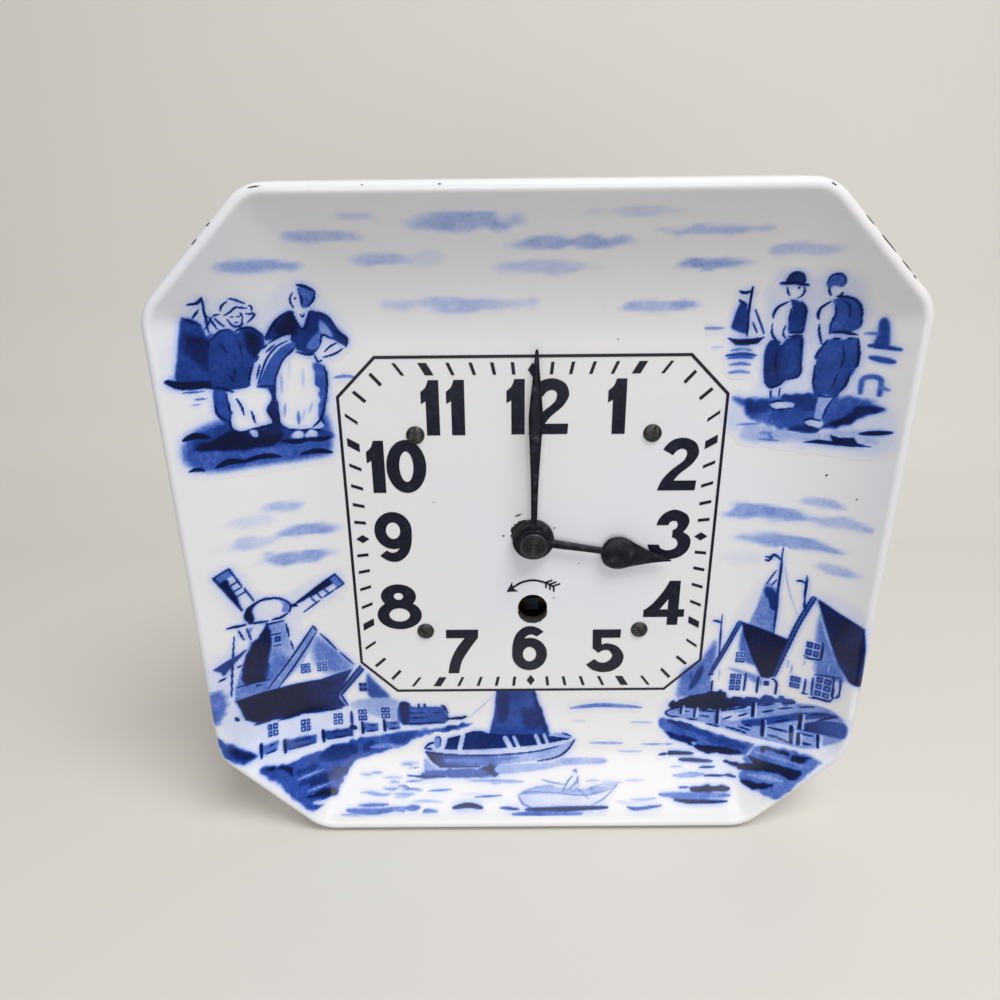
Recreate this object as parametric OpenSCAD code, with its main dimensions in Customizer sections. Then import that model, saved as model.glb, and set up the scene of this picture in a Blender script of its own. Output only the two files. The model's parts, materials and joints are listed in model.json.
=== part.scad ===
// Wall plate clock: an enamelled dish with a printed dial, on a spring-driven movement in a
// sheet-metal case. Sizes are millimetres. The clock hangs on one nail through the hanger's
// round hole, which is the origin. +Z is up and the dial faces -Y.

/* [Dial plate] */
// Width and height of the plate over its edge
plate_w = 208; // [200:1:225]
// Leg of the chamfer that cuts each corner of the plate
corner_cut = 31; // [28:1:36]
// Radius of the turns between the plate's sides, seen from the front
turn_r = 13; // [9:1:16]
// Thickness of the enamelled sheet
plate_t = 1.6; // [1.2:0.1:1.8]
// Width of the hollow border, from the edge to the flat dial
border_w = 42.5; // [38:0.5:45]
// Height of the border's crest over the flat dial
crest_h = 15.5; // [12:0.5:18]
// Radius of the rolled crest
crest_r = 2; // [1.9:0.1:4.5]
// Depth of the edge turned back behind the crest
edge_d = 16.5; // [13:0.5:18]
// Radius of the dial's centre hole
centre_hole_r = 4.4; // [4.2:0.1:5]
// Radius of the winding hole
winding_hole_r = 5; // [4:0.1:6]
// Clearance round a screw that passes through a sheet
screw_hole_gap = 0.25; // [0.1:0.05:0.5]

/* [Dial screws] */
// Distance between the screws from side to side
screw_dx = 70; // [66:0.5:72]
// Distance between the screws from top to bottom
screw_dy = 67.5; // [64:0.5:70]
// Radius of a dial screw's head
screw_head_r = 2.75; // [2.4:0.05:3.5]
// Height of a dial screw's head
screw_head_h = 1.1; // [0.9:0.1:1.6]
// Radius of a dial screw's shank
screw_r = 1.45; // [1.2:0.05:1.6]
// Length of a dial screw under its head
screw_l = 8; // [7:0.5:9]
// Width of the screws' slots
slot_w = 0.6; // [0.4:0.1:0.8]
// Radius of the fibre washers behind the plate
washer_r = 5; // [4:0.5:6]
// Thickness of the fibre washers
washer_t = 0.8; // [0.6:0.1:1.5]

/* [Case] */
// Width of the movement case
case_w = 88; // [86:1:96]
// Height of the movement case
case_h = 94; // [92:1:104]
// Height of the case's middle over the dial's centre
case_y = -3; // [-4:0.5:-2]
// Depth of the case from front to back
case_d = 43.6; // [43:0.2:50]
// Radius of the case's upright corners
case_r = 9; // [6:0.5:14]
// Thickness of the case's sheet
case_t = 0.6; // [0.4:0.1:1]
// Depth of the back cover's rim inside the case
cover_rim_d = 6; // [4:0.5:8]
// Clearance between the cover's rim and the case
cover_gap = 0.15; // [0.1:0.05:0.3]

/* [Hanger] */
// Width of the hanger
hanger_w = 20; // [18:1:26]
// Thickness of the hanger's strip
hanger_t = 1.2; // [1:0.1:2]
// Height of the nail hole over the case's top
hanger_rise = 13; // [11:0.5:18]
// Radius of the nail hole
nail_hole_r = 3.5; // [3:0.1:4]
// Width of the slot over the nail hole
nail_slot_w = 3; // [2:0.1:3.5]
// Length of the hanger's foot on the case
hanger_foot = 14; // [12:0.5:18]
// Radius of a rivet's shank
rivet_r = 1.25; // [1:0.05:1.6]

/* [Movement frame] */
// Width of the movement plates
frame_w = 78; // [77:0.5:80]
// Height of the movement plates
frame_h = 84; // [82:0.5:86]
// Thickness of the movement plates
frame_t = 1.5; // [1.2:0.1:2]
// Gap between the front and back movement plates
frame_gap = 22; // [22:0.2:23]
// Length of the posts between the case and the front plate
post_l = 7.5; // [7.5:0.1:8]
// Radius of the posts behind the dial screws
post_r = 3; // [2.5:0.1:3.5]
// Radius of the pillars between the movement plates
pillar_r = 3; // [2.5:0.1:3.5]
// Distance from a pillar's axis to the plates' edges
pillar_inset = 5; // [4.5:0.1:6]
// Distance from an upper pillar's axis to the plates' top edge, clear of the dial posts
upper_inset = 10.5; // [10:0.1:12]
// Radius of the pillars' threaded ends
stud_r = 1.5; // [1.3:0.05:1.8]
// Width across the corners of a pillar nut
nut_w = 6.4; // [5.6:0.1:7]
// Height of a pillar nut
nut_h = 2.2; // [1.8:0.1:2.6]

/* [Train] */
// Radius of the wheel arbors
arbor_r = 0.9; // [0.7:0.05:1]
// Radius of the wheel arbors' pivots
pivot_r = 0.45; // [0.35:0.05:0.6]
// Running clearance round a pivot or shaft
run_gap = 0.04; // [0.02:0.01:0.06]
// Thickness of the train wheels
wheel_t = 1; // [0.8:0.05:1.1]
// Thickness of the great wheel
great_t = 1.4; // [1.2:0.1:1.6]
// Width of the mainspring's strip
spring_w = 11.5; // [10:0.5:12]
// Thickness of the mainspring's strip
spring_t = 0.4; // [0.3:0.05:0.6]
// Radius of the balance wheel
balance_r = 10; // [8.5:0.25:10.5]
// Radius of the escape wheel
escape_r = 5.5; // [5:0.1:5.6]
// Width across the flats of the winding arbor's square
square_w = 4.2; // [3.6:0.1:4.4]

/* [Hands] */
// Length of the minute hand from the centre
minute_l = 60; // [56:0.5:64]
// Greatest width of the minute hand
minute_w = 3.7; // [3:0.1:5]
// Length of the hour hand from the centre
hour_l = 43.5; // [40:0.5:47]
// Greatest width of the hour hand
hour_w = 10.6; // [9:0.1:12]
// Thickness of the hands
hand_t = 0.6; // [0.4:0.05:0.8]
// Height of the hour hand over the dial
hour_z = 2.6; // [2.4:0.1:3]
// Gap between the hour hand and the minute hand
hands_gap = 1.8; // [1.5:0.1:2.5]
// Turn of the hour hand from twelve, clockwise
hour_turn = 99.5; // [0:0.5:359]
// Turn of the minute hand from twelve, clockwise
minute_turn = 0.8; // [0:0.1:359]

/* [Hidden] */
round_fn = 64;
small_fn = 32;
cut = 0.5; // how far a cutting shape runs past the face it cuts
tiny = 0.02; // clearance between a shaft and what is pressed on it

// Levels along the dial's normal, with 0 at the dial's face and + towards the viewer
plate_back = -plate_t;
case_front = plate_back - washer_t;
case_back = case_front - case_d;
frame_front = case_front - case_t - post_l;
front_in = frame_front - frame_t;
back_in = front_in - frame_gap;
frame_back = back_in - frame_t;
wall = case_back - case_t;
case_top = case_y + case_h / 2;
nail_y = case_top + hanger_rise;
nail_level = wall + hanger_t / 2;
frame_y = case_y - 1;
screw_at = [screw_dx / 2, screw_dy / 2];
pillar_x = frame_w / 2 - pillar_inset;
pillar_ys = [frame_y - frame_h / 2 + pillar_inset, frame_y + frame_h / 2 - upper_inset];
pillar_spots = [for (sx = [-1, 1], y = pillar_ys) [sx * pillar_x, y]];
screw_spots = [for (sx = [-1, 1], sy = [-1, 1]) [sx * screw_at[0], sy * screw_at[1]]];
slot_turns = [40, 0, 130, 75];

// Teeth and modules of the train, from the mainspring to the escape wheel
great_n = 72;
second_pinion_n = 12;
great_m = 0.5;
second_n = 60;
centre_pinion_n = 10;
second_m = 0.4;
centre_n = 64;
third_pinion_n = 8;
centre_m = 0.38;
third_n = 60;
fourth_pinion_n = 8;
third_m = 0.35;
fourth_n = 48;
escape_pinion_n = 6;
fourth_m = 0.35;
escape_n = 15;
cannon_n = 12;
minute_n = 36;
cannon_m = 0.5;
minute_pinion_n = 10;
hour_n = 40;
hour_m = 0.48;

// Places of the arbors, seen from the front
centre_at = [0, 0];
winding_at = [0, -25.2];
great_reach = (great_n + second_pinion_n) * great_m / 2;
second_reach = (second_n + centre_pinion_n) * second_m / 2;
winding_drop = norm(winding_at);
second_turn = 90 + acos(
    (great_reach ^ 2 + winding_drop ^ 2 - second_reach ^ 2) / 2 / great_reach / winding_drop
);
second_at = beside(winding_at, great_reach, second_turn);
third_turn = 45;
third_at = beside(centre_at, (centre_n + third_pinion_n) * centre_m / 2, third_turn);
fourth_turn = 125;
fourth_at = beside(third_at, (third_n + fourth_pinion_n) * third_m / 2, fourth_turn);
escape_turn = 170;
escape_at = beside(fourth_at, (fourth_n + escape_pinion_n) * fourth_m / 2, escape_turn);
pallet_span = 54;
pallet_turn = 201;
pallet_at = beside(escape_at, escape_r / cos(pallet_span), pallet_turn);
pin_clear = 1;
pin_r = 0.25;
balance_turn = 195;
pallet_reach = 12;
balance_at = beside(pallet_at, pallet_reach, balance_turn);
minute_turn_at = 20;
minute_at = beside(centre_at, (cannon_n + minute_n) * cannon_m / 2, minute_turn_at);

// Levels of the wheels, each the back face of its sheet
centre_z = front_in - 1.2 - wheel_t;
second_z = centre_z - 1.2 - wheel_t;
lever_t = 0.6;
lever_z = front_in - 5.2;
escape_z = lever_z - 0.6 - wheel_t;
great_z = back_in + 2.8;
ratchet_t = 1.4;
ratchet_z = great_z - 0.3 - ratchet_t;
third_z = back_in + 6.2;
fourth_z = back_in + 9.6;
hairspring_z = back_in + 3;
hairspring_h = 0.7;
balance_t = 1.8;
balance_z = back_in + 9;
roller_z = lever_z - 3.2;
spring_z = great_z + great_t + 0.6;

// Levels of the motion work, in front of the front plate
cannon_z = frame_front + 0.7;
motion_t = 0.9;
cannon_leaf_h = 1.9;
hour_wheel_z = cannon_z + cannon_leaf_h + 0.7;
minute_wheel_z = cannon_z + 0.5;

// Shafts and pipes of the hands
centre_shaft_r = 1;
cannon_pipe_r = 1.8;
hour_pipe_r = 2.8;
minute_z = hour_z + hand_t + hands_gap;
minute_top = minute_z + hand_t;
nut_z = minute_top;

// A point at a distance and an angle from another
function beside(p, d, a) = [p[0] + d * cos(a), p[1] + d * sin(a)];

// Pitch radius of a wheel
function pitch(n, m) = n * m / 2;

// Outline of a clock wheel or pinion: n teeth of module m, each with flanks that reach the pitch
// circle and an arched tip. wide is the tooth's width at the pitch circle in modules, up and
// down its height over and depth under that circle, and foot how much wider its root is.
function teeth(n, m, wide, up, down, foot) =
    let (r = pitch(n, m), half = wide * m / 2 / r * 180 / PI)
    [for (i = [0:n - 1])
        let (a = i * 360 / n)
        for (q = [
            [r - down * m, -half * foot], [r, -half], [r + up * 0.62 * m, -half * 0.68],
            [r + up * m, 0],
            [r + up * 0.62 * m, half * 0.68], [r, half], [r - down * m, half * foot]
        ]) beside([0, 0], q[0], a + q[1])];

function wheel_outline(n, m) = teeth(n, m, 1.4, 1.15, 1.45, 1.25);
function leaf_outline(n, m) = teeth(n, m, 1.05, 0.75, 1.6, 0.85);

// Everything is drawn facing the viewer and then stood up behind the nail hole
module stand() {
    translate([0, nail_level, -nail_y]) rotate([90, 0, 0]) children();
}

// A round bar between two levels
module bar(p, r, low, high, fn = small_fn) {
    translate([p[0], p[1], low]) cylinder(r = r, h = high - low, $fn = fn);
}

// A sheet between two levels
module sheet_at(low, t) {
    translate([0, 0, low]) linear_extrude(height = t) children();
}

// A rectangle with round corners
module round_rect(w, h, r) {
    square([w - 2 * r, h], center = true);
    square([w, h - 2 * r], center = true);
    for (sx = [-1, 1], sy = [-1, 1])
        translate([sx * (w / 2 - r), sy * (h / 2 - r)]) circle(r = r, $fn = round_fn);
}

// The border's cross-section: x runs outwards and ends at 0 on the plate's edge. The hollow is
// an arc that leaves the flat dial level and rolls over the crest into the turned edge.
hollow_b = border_w - crest_r;
hollow_e = crest_h - crest_r;
hollow_r = (hollow_b * hollow_b + hollow_e * hollow_e - crest_r * crest_r) / 2 / crest_h;
hollow_end = asin(hollow_b / (hollow_r + crest_r));
edge_z = crest_h - edge_d;
hollow_steps = 10;
crest_steps = 8;
lap = 1; // how far the border's sheet runs in under the flat dial
seam = 0.02; // how far neighbouring sides run past their mitre

function reversed(list) = [for (i = [len(list) - 1:-1:0]) list[i]];
function hollow(r) =
    [for (i = [0:hollow_steps]) let (u = hollow_end * i / hollow_steps)
        [-border_w + r * sin(u), hollow_r - r * cos(u)]];
function crest(r) =
    [for (i = [1:crest_steps]) let (w = (90 + hollow_end) * (1 - i / crest_steps))
        [-crest_r + r * cos(w), hollow_e + r * sin(w)]];
function face(r_hollow, r_crest) = concat(hollow(r_hollow), crest(r_crest));
border_profile = concat(
    [[-border_w - lap, 0]], face(hollow_r, crest_r), [[0, edge_z], [-plate_t, edge_z]],
    reversed(face(hollow_r + plate_t, crest_r - plate_t)), [[-border_w - lap, -plate_t]]
);

// The plate's outline has eight sides and a short facet at each turn between them. Each is the
// distance to it from the centre, half of the side's length and its direction.
square_side = [plate_w / 2, plate_w / 2 - corner_cut];
cut_side = [(plate_w - corner_cut) / sqrt(2), corner_cut / sqrt(2)];
turn_half = 22.5;
facet_half = turn_half / 2;
function half_at(side, inwards) = side[1] - inwards * tan(turn_half);

// One side of the border: its cross-section run along it and mitred to its neighbours
module border_piece(far, mitre) {
    intersection() {
        translate([far, 0, 0]) rotate([90, 0, 0])
            linear_extrude(height = plate_w, center = true) polygon(border_profile);
        translate([0, 0, -2 * edge_d]) linear_extrude(height = 4 * edge_d)
            polygon(concat(
                [for (p = mitre) [far + p[0], p[1] + seam]],
                reversed([for (p = mitre) [far + p[0], -p[1] - seam]])
            ));
    }
}

module border_side(side) {
    border_piece(side[0], [
        [-border_w - lap, half_at(side, border_w + lap)], [-turn_r, half_at(side, turn_r)],
        [cut, half_at(side, turn_r) + (turn_r + cut) * tan(facet_half)]
    ]);
}

module border_facet(s) {
    translate([square_side[0] - turn_r, s * half_at(square_side, turn_r), 0])
        rotate([0, 0, s * turn_half])
            border_piece(turn_r, [[-turn_r, 0], [cut, (turn_r + cut) * tan(facet_half)]]);
}

module dial_plate() {
    flat_w = square_side[0] - border_w;
    flat_c = half_at(square_side, border_w);
    color("ghostwhite") stand() difference() {
        union() {
            sheet_at(plate_back, plate_t) polygon([for (k = [0:3], s = [-1, 1])
                let (a = k * 90)
                [flat_w * cos(a) - s * flat_c * sin(a), flat_w * sin(a) + s * flat_c * cos(a)]]);
            for (k = [0:3]) {
                rotate([0, 0, k * 90]) border_side(square_side);
                rotate([0, 0, k * 90]) border_facet(-1);
                rotate([0, 0, k * 90]) border_facet(1);
                rotate([0, 0, k * 90 + 2 * turn_half]) border_side(cut_side);
            }
        }
        bar(centre_at, centre_hole_r, plate_back - cut, cut, round_fn);
        bar(winding_at, winding_hole_r, plate_back - cut, cut, round_fn);
        for (p = screw_spots) bar(p, screw_r + screw_hole_gap, plate_back - cut, cut);
    }
}

module dial_screws() {
    head_edge = screw_head_h / 2;
    color("dimgray") stand() for (i = [0:3]) {
        p = screw_spots[i];
        difference() {
            union() {
                bar(p, screw_r, -screw_l, 0.1);
                bar(p, screw_head_r, 0, head_edge);
                translate([p[0], p[1], head_edge])
                    cylinder(r1 = screw_head_r, r2 = screw_head_r * 0.75, h = screw_head_h - head_edge,
                        $fn = small_fn);
            }
            translate([p[0], p[1], head_edge]) rotate([0, 0, slot_turns[i]])
                translate([-screw_head_r - cut, -slot_w / 2, 0])
                    cube([2 * screw_head_r + 2 * cut, slot_w, screw_head_h]);
        }
    }
}

module dial_washers() {
    color("sienna") stand() for (p = screw_spots) difference() {
        bar(p, washer_r, case_front, plate_back);
        bar(p, screw_r + screw_hole_gap, case_front - cut, plate_back + cut);
    }
}

// Drawn sheet-metal can, open at the back
module movement_case() {
    color("darkgray") stand() difference() {
        sheet_at(case_back, case_d) translate([0, case_y]) round_rect(case_w, case_h, case_r);
        sheet_at(case_back - cut, case_d - case_t + cut) translate([0, case_y])
            round_rect(case_w - 2 * case_t, case_h - 2 * case_t, case_r - case_t);
        bar(centre_at, hour_pipe_r + 3, case_front - 2 * case_t, case_front + cut, round_fn);
        bar(winding_at, winding_hole_r + 1, case_front - 2 * case_t, case_front + cut, round_fn);
        for (p = screw_spots)
            bar(p, screw_r + screw_hole_gap, case_front - 2 * case_t, case_front + cut);
        for (x = rivet_xs)
            translate([x, case_top - 2 * case_t, rivet_level]) rotate([-90, 0, 0])
                cylinder(r = rivet_r + tiny, h = 3 * case_t, $fn = small_fn);
    }
}

// Push-in back cover: a flat sheet on the case's rear edge, a rim inside the case and an
// arched slot that shows the regulator's tail
index_l = 15;
index_play = 25;
index_turn = 270;
slot_half_w = 1.5;
module back_cover() {
    lid_w = case_w - 0.4;
    lid_h = case_h - 0.4;
    rim_w = case_w - 2 * case_t - 2 * cover_gap;
    rim_h = case_h - 2 * case_t - 2 * cover_gap;
    rim_r = case_r - case_t - cover_gap;
    bead_h = 1.2; // pressed ring that stiffens the sheet
    bead_w = 2;
    bead_in = 11; // its distance from the cover's edge
    color("silver") stand() difference() {
        union() {
            sheet_at(wall, case_t) translate([0, case_y]) round_rect(lid_w, lid_h, case_r);
            difference() {
                sheet_at(case_back, cover_rim_d) translate([0, case_y]) round_rect(rim_w, rim_h, rim_r);
                sheet_at(case_back - cut, cover_rim_d + 2 * cut) translate([0, case_y])
                    round_rect(rim_w - 2 * case_t, rim_h - 2 * case_t, rim_r - case_t);
            }
            sheet_at(case_back, bead_h) translate([0, case_y]) difference() {
                round_rect(lid_w - 2 * bead_in, lid_h - 2 * bead_in, case_r);
                round_rect(lid_w - 2 * (bead_in + bead_w), lid_h - 2 * (bead_in + bead_w), case_r - bead_w);
            }
        }
        translate([balance_at[0], balance_at[1], wall - cut])
            rotate([0, 0, index_turn - index_play - 6])
                rotate_extrude(angle = 2 * index_play + 12, $fn = round_fn)
                    translate([index_l - slot_half_w, 0])
                        square([2 * slot_half_w, 3 * case_t + bead_h]);
    }
}

// Strip riveted on the case's top and bent up against the wall, with a keyhole for the nail
rivet_xs = [-hanger_w * 0.28, hanger_w * 0.28];
rivet_level = wall + hanger_t + hanger_foot * 0.6;
module hanger() {
    head_r = hanger_w / 2;
    color("silver") stand() difference() {
        union() {
            sheet_at(wall, hanger_t) {
                translate([-head_r, case_top]) square([hanger_w, hanger_rise]);
                translate([0, nail_y]) circle(r = head_r, $fn = round_fn);
            }
            translate([-head_r, case_top, wall]) cube([hanger_w, hanger_t, hanger_foot + hanger_t]);
        }
        bar([0, nail_y], nail_hole_r, wall - cut, wall + hanger_t + cut, round_fn);
        translate([-nail_slot_w / 2, nail_y, wall - cut])
            cube([nail_slot_w, nail_hole_r + 2.6, hanger_t + 2 * cut]);
        for (x = rivet_xs)
            translate([x, case_top - cut, rivet_level]) rotate([-90, 0, 0])
                cylinder(r = rivet_r + tiny, h = hanger_t + 2 * cut, $fn = small_fn);
    }
}

module hanger_rivets() {
    head_h = 0.8;
    outer_head_r = 1.8 * rivet_r;
    inner_head_r = 1.6 * rivet_r;
    color("gray") stand() for (x = rivet_xs)
        translate([x, case_top, rivet_level]) rotate([-90, 0, 0]) {
            translate([0, 0, -case_t - head_h])
                cylinder(r = rivet_r, h = case_t + hanger_t + 2 * head_h, $fn = small_fn);
            translate([0, 0, hanger_t]) cylinder(r = outer_head_r, h = head_h, $fn = small_fn);
            translate([0, 0, -case_t - head_h])
                cylinder(r = inner_head_r, h = head_h, $fn = small_fn);
        }
}

// Posts on the front movement plate, tapped for the dial screws
post_tail_r = post_r * 0.6;
module dial_posts() {
    color("goldenrod") stand() for (p = screw_spots) difference() {
        union() {
            bar(p, post_r, frame_front, case_front - case_t);
            bar(p, post_tail_r, front_in, frame_front + 0.1);
        }
        bar(p, screw_r + tiny, -screw_l - 0.6, case_front);
    }
}

// The two movement plates share their outline and their pillar holes
module frame_outline() {
    translate([0, frame_y]) round_rect(frame_w, frame_h, 3);
}

module pivot_holes(low) {
    for (p = [second_at, third_at, fourth_at, escape_at, pallet_at])
        bar(p, pivot_r + run_gap, low - cut, low + frame_t + cut);
}

window_spots = [[24, -12, 8.5], [24, 12, 6], [-6, 33, 3.5], [12, 33, 4], [-26, -22, 6.5], [24, -33, 4.5]];
module front_plate() {
    color("goldenrod") stand() difference() {
        sheet_at(front_in, frame_t) frame_outline();
        pivot_holes(front_in);
        bar(centre_at, centre_r + run_gap, front_in - cut, frame_front + cut);
        bar(winding_at, winding_r + run_gap, front_in - cut, frame_front + cut, round_fn);
        bar(balance_at, cup_r + tiny, front_in - cut, frame_front + cut);
        bar(minute_at, post_foot_r + tiny, front_in - cut, frame_front + cut);
        for (p = pillar_spots) bar(p, stud_r + tiny, front_in - cut, frame_front + cut);
        for (p = screw_spots) bar(p, post_tail_r + tiny, front_in - cut, frame_front + cut);
    }
}

module back_plate() {
    color("goldenrod") stand() difference() {
        sheet_at(frame_back, frame_t) frame_outline();
        pivot_holes(frame_back);
        bar(centre_at, pivot_r + run_gap + 0.3, frame_back - cut, back_in + cut);
        bar(winding_at, winding_tail_r + run_gap, frame_back - cut, back_in + cut, round_fn);
        bar(balance_at, cup_r + tiny, frame_back - cut, back_in + cut);
        bar(stud_at, hair_stud_r + tiny, frame_back - cut, back_in + cut);
        for (p = pillar_spots) bar(p, stud_r + tiny, frame_back - cut, back_in + cut);
        for (w = window_spots) bar([w[0], w[1]], w[2], frame_back - cut, back_in + cut, round_fn);
        translate([balance_at[0], balance_at[1], frame_back - cut])
            rotate([0, 0, index_turn - index_play - 10])
                rotate_extrude(angle = 2 * index_play + 20, $fn = round_fn)
                    translate([curb_r - 1, 0]) square([2, frame_t + 2 * cut]);
    }
}

stud_past_nut = 0.8;
stud_past_plate = 0.4;
module plate_pillars() {
    color("goldenrod") stand() for (p = pillar_spots) {
        bar(p, pillar_r, back_in, front_in);
        bar(p, stud_r, frame_back - nut_h - stud_past_nut, frame_front + stud_past_plate);
    }
}

module pillar_nuts() {
    color("gray") stand() for (p = pillar_spots) difference() {
        bar(p, nut_w / 2, frame_back - nut_h, frame_back, 6);
        bar(p, stud_r + tiny, frame_back - nut_h - cut, frame_back + cut);
    }
}

// Winding arbor: barrel for the spring, pivots in both plates and a square end for the key
winding_r = 2.7;
winding_body_r = 3;
winding_tail_r = 2.4;
square_end = plate_back - 0.9;
module winding_arbor() {
    color("gray") stand() {
        bar(winding_at, winding_body_r, back_in + 0.3, front_in - 0.3);
        bar(winding_at, winding_tail_r, frame_back - 0.4, back_in + 0.4);
        bar(winding_at, winding_r, front_in - 0.4, frame_front + 0.4);
        translate([winding_at[0] - square_w / 2, winding_at[1] - square_w / 2, frame_front + 0.3])
            cube([square_w, square_w, square_end - frame_front - 0.3]);
    }
}

// Open mainspring: a strip wound on the arbor, its outer end looped on the lower left pillar.
// It winds outwards clockwise, and its straight tail touches the coil and the loop alike.
spring_turns = 7.5;
spring_in = winding_body_r + 0.05;
spring_out = 16.6;
spring_steps = 20;
loop_r = pillar_r + 0.1;
loop_at = pillar_spots[0];
tail_run = loop_at - winding_at;
tail_side = atan2(tail_run[1], tail_run[0]) + 360 + acos((spring_out - loop_r) / norm(tail_run));
function coil(off) = [for (i = [0:floor(spring_turns * spring_steps)])
    let (s = i / floor(spring_turns * spring_steps))
    beside([0, 0], spring_in + off + (spring_out - spring_in) * s, tail_side + spring_turns * 360 * (1 - s))];
module mainspring() {
    tail_l = sqrt(norm(tail_run) ^ 2 - (spring_out - loop_r) ^ 2);
    color("steelblue") stand() difference() {
        union() {
            sheet_at(spring_z, spring_w) translate(winding_at)
                polygon(concat(coil(0), reversed(coil(spring_t))));
            bar(loop_at, loop_r + spring_t, spring_z, spring_z + spring_w);
            sheet_at(spring_z, spring_w) translate(beside(winding_at, spring_out, tail_side))
                rotate(tail_side) translate([0, -tail_l]) square([spring_t, tail_l + 0.4]);
        }
        bar(loop_at, loop_r, spring_z - cut, spring_z + spring_w + cut);
    }
}

// A wheel cut from sheet: a toothed rim on straight spokes
module crossed_wheel(p, n, m, low, t, bore, hub, spokes, towards) {
    rim_in = pitch(n, m) - 1.5 * m - 1.6;
    translate([p[0], p[1], low]) difference() {
        linear_extrude(height = t) rotate(towards) difference() {
            polygon(wheel_outline(n, m));
            difference() {
                circle(r = rim_in, $fn = round_fn);
                circle(r = hub, $fn = small_fn);
                for (k = [0:spokes - 1]) rotate(k * 360 / spokes + 11)
                    translate([0, -0.7]) square([rim_in + 1, 1.4]);
            }
        }
        translate([0, 0, -cut]) cylinder(r = bore, h = t + 2 * cut, $fn = small_fn);
    }
}

// A pinion's leaves, with a gap turned towards its wheel
module leaves(p, n, m, low, high, towards) {
    translate([p[0], p[1], low]) linear_extrude(height = high - low)
        rotate(towards + 180 + 180 / n) polygon(leaf_outline(n, m));
}

// An arbor between the plates with its two pivots
module pivoted_bar(p, r, pivot) {
    bar(p, r, back_in + 0.25, front_in - 0.25);
    bar(p, pivot, frame_back, frame_front);
}

ratchet_r = 8;
ratchet_n = 24;
click_at = beside(winding_at, 11.6, 115);
click_screw_r = 1;
module ratchet_wheel() {
    color("gray") stand() translate([winding_at[0], winding_at[1], ratchet_z]) difference() {
        linear_extrude(height = ratchet_t) polygon([for (i = [0:ratchet_n - 1])
            let (a = i * 360 / ratchet_n)
            for (q = [[ratchet_r - 1.2, 1], [ratchet_r, 0.4]]) beside([0, 0], q[0], a - q[1])]);
        translate([0, 0, -cut])
            cylinder(r = winding_body_r + tiny, h = ratchet_t + 2 * cut, $fn = small_fn);
    }
}

module great_wheel() {
    color("goldenrod") stand() difference() {
        crossed_wheel(winding_at, great_n, great_m, great_z, great_t, winding_body_r + run_gap,
            13.4, 4, second_turn);
        bar(click_at, click_screw_r + tiny, great_z - cut, great_z + great_t + cut);
        bar(click_foot, click_screw_r * 0.6 + tiny, great_z - cut, great_z + great_t + cut);
    }
}

// The click reaches the ratchet's teeth just clear of their tips
click_clear = 0.15;
click_tip = beside(winding_at, ratchet_r + click_clear, 158);
click_run = click_tip - click_at;
click_boss_r = 2;
click_shoulder = [3, 0.7];
click_nose = [norm(click_run), -0.6];
click_back = [2.4, -1.4];
click_lean = atan2(click_run[1], click_run[0]);
function on_click(p) = click_at + norm(p) * [
    cos(click_lean + atan2(p[1], p[0])), sin(click_lean + atan2(p[1], p[0]))
];
module click() {
    color("gray") stand() translate([click_at[0], click_at[1], ratchet_z]) difference() {
        union() {
            cylinder(r = click_boss_r, h = ratchet_t, $fn = small_fn);
            rotate([0, 0, click_lean]) linear_extrude(height = ratchet_t)
                polygon([[0, click_boss_r - 0.1], click_shoulder, [norm(click_run), 0], click_nose,
                    click_back, [0, 0.1 - click_boss_r]]);
        }
        translate([0, 0, -cut])
            cylinder(r = click_screw_r + run_gap, h = ratchet_t + 2 * cut, $fn = small_fn);
    }
}

module click_screw() {
    color("gray") stand() {
        bar(click_at, click_screw_r, ratchet_z - 0.1, great_z + great_t);
        bar(click_at, click_screw_r * 1.7, ratchet_z - 0.6, ratchet_z - 0.1);
    }
}

// A straight wire that bears on the back of the click, staked in the great wheel
click_foot = on_click([9.5, -3.4]);
module click_spring() {
    wire = 0.35;
    run = on_click([4.2, -1.39]) - click_foot;
    color("steelblue") stand() {
        bar(click_foot, click_screw_r * 0.6, ratchet_z, great_z + great_t);
        translate([click_foot[0], click_foot[1], ratchet_z + ratchet_t / 2 - wire])
            rotate([0, 0, atan2(run[1], run[0])]) translate([0, -wire / 2, 0])
                cube([norm(run), wire, 2 * wire]);
    }
}

module second_arbor() {
    color("gray") stand() {
        pivoted_bar(second_at, arbor_r, pivot_r);
        leaves(second_at, second_pinion_n, great_m, great_z - 0.7, great_z + great_t + 0.7, second_turn);
    }
}

second_to_centre = atan2(centre_at[1] - second_at[1], centre_at[0] - second_at[0]);
module second_wheel() {
    color("goldenrod") stand() crossed_wheel(second_at, second_n, second_m, second_z, wheel_t,
        arbor_r + tiny, 2.6, 5, second_to_centre);
}

// Centre arbor: pinion and wheel between the plates, and the long end that carries the hands
centre_r = 1.3;
module centre_arbor() {
    color("gray") stand() {
        bar(centre_at, centre_r, back_in + 0.25, frame_front + 0.3);
        bar(centre_at, pivot_r + 0.3, frame_back, back_in + 0.3);
        bar(centre_at, centre_shaft_r, frame_front + 0.2, nut_z + 1.2);
        leaves(centre_at, centre_pinion_n, second_m, second_z - 0.6, second_z + wheel_t + 0.4,
            second_to_centre);
    }
}

module centre_wheel() {
    color("goldenrod") stand() crossed_wheel(centre_at, centre_n, centre_m, centre_z, wheel_t,
        centre_r + tiny, 2.8, 5, third_turn);
}

module third_arbor() {
    color("gray") stand() {
        pivoted_bar(third_at, arbor_r * 0.9, pivot_r);
        leaves(third_at, third_pinion_n, centre_m, centre_z - 0.6, centre_z + wheel_t + 0.6, third_turn);
    }
}

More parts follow.
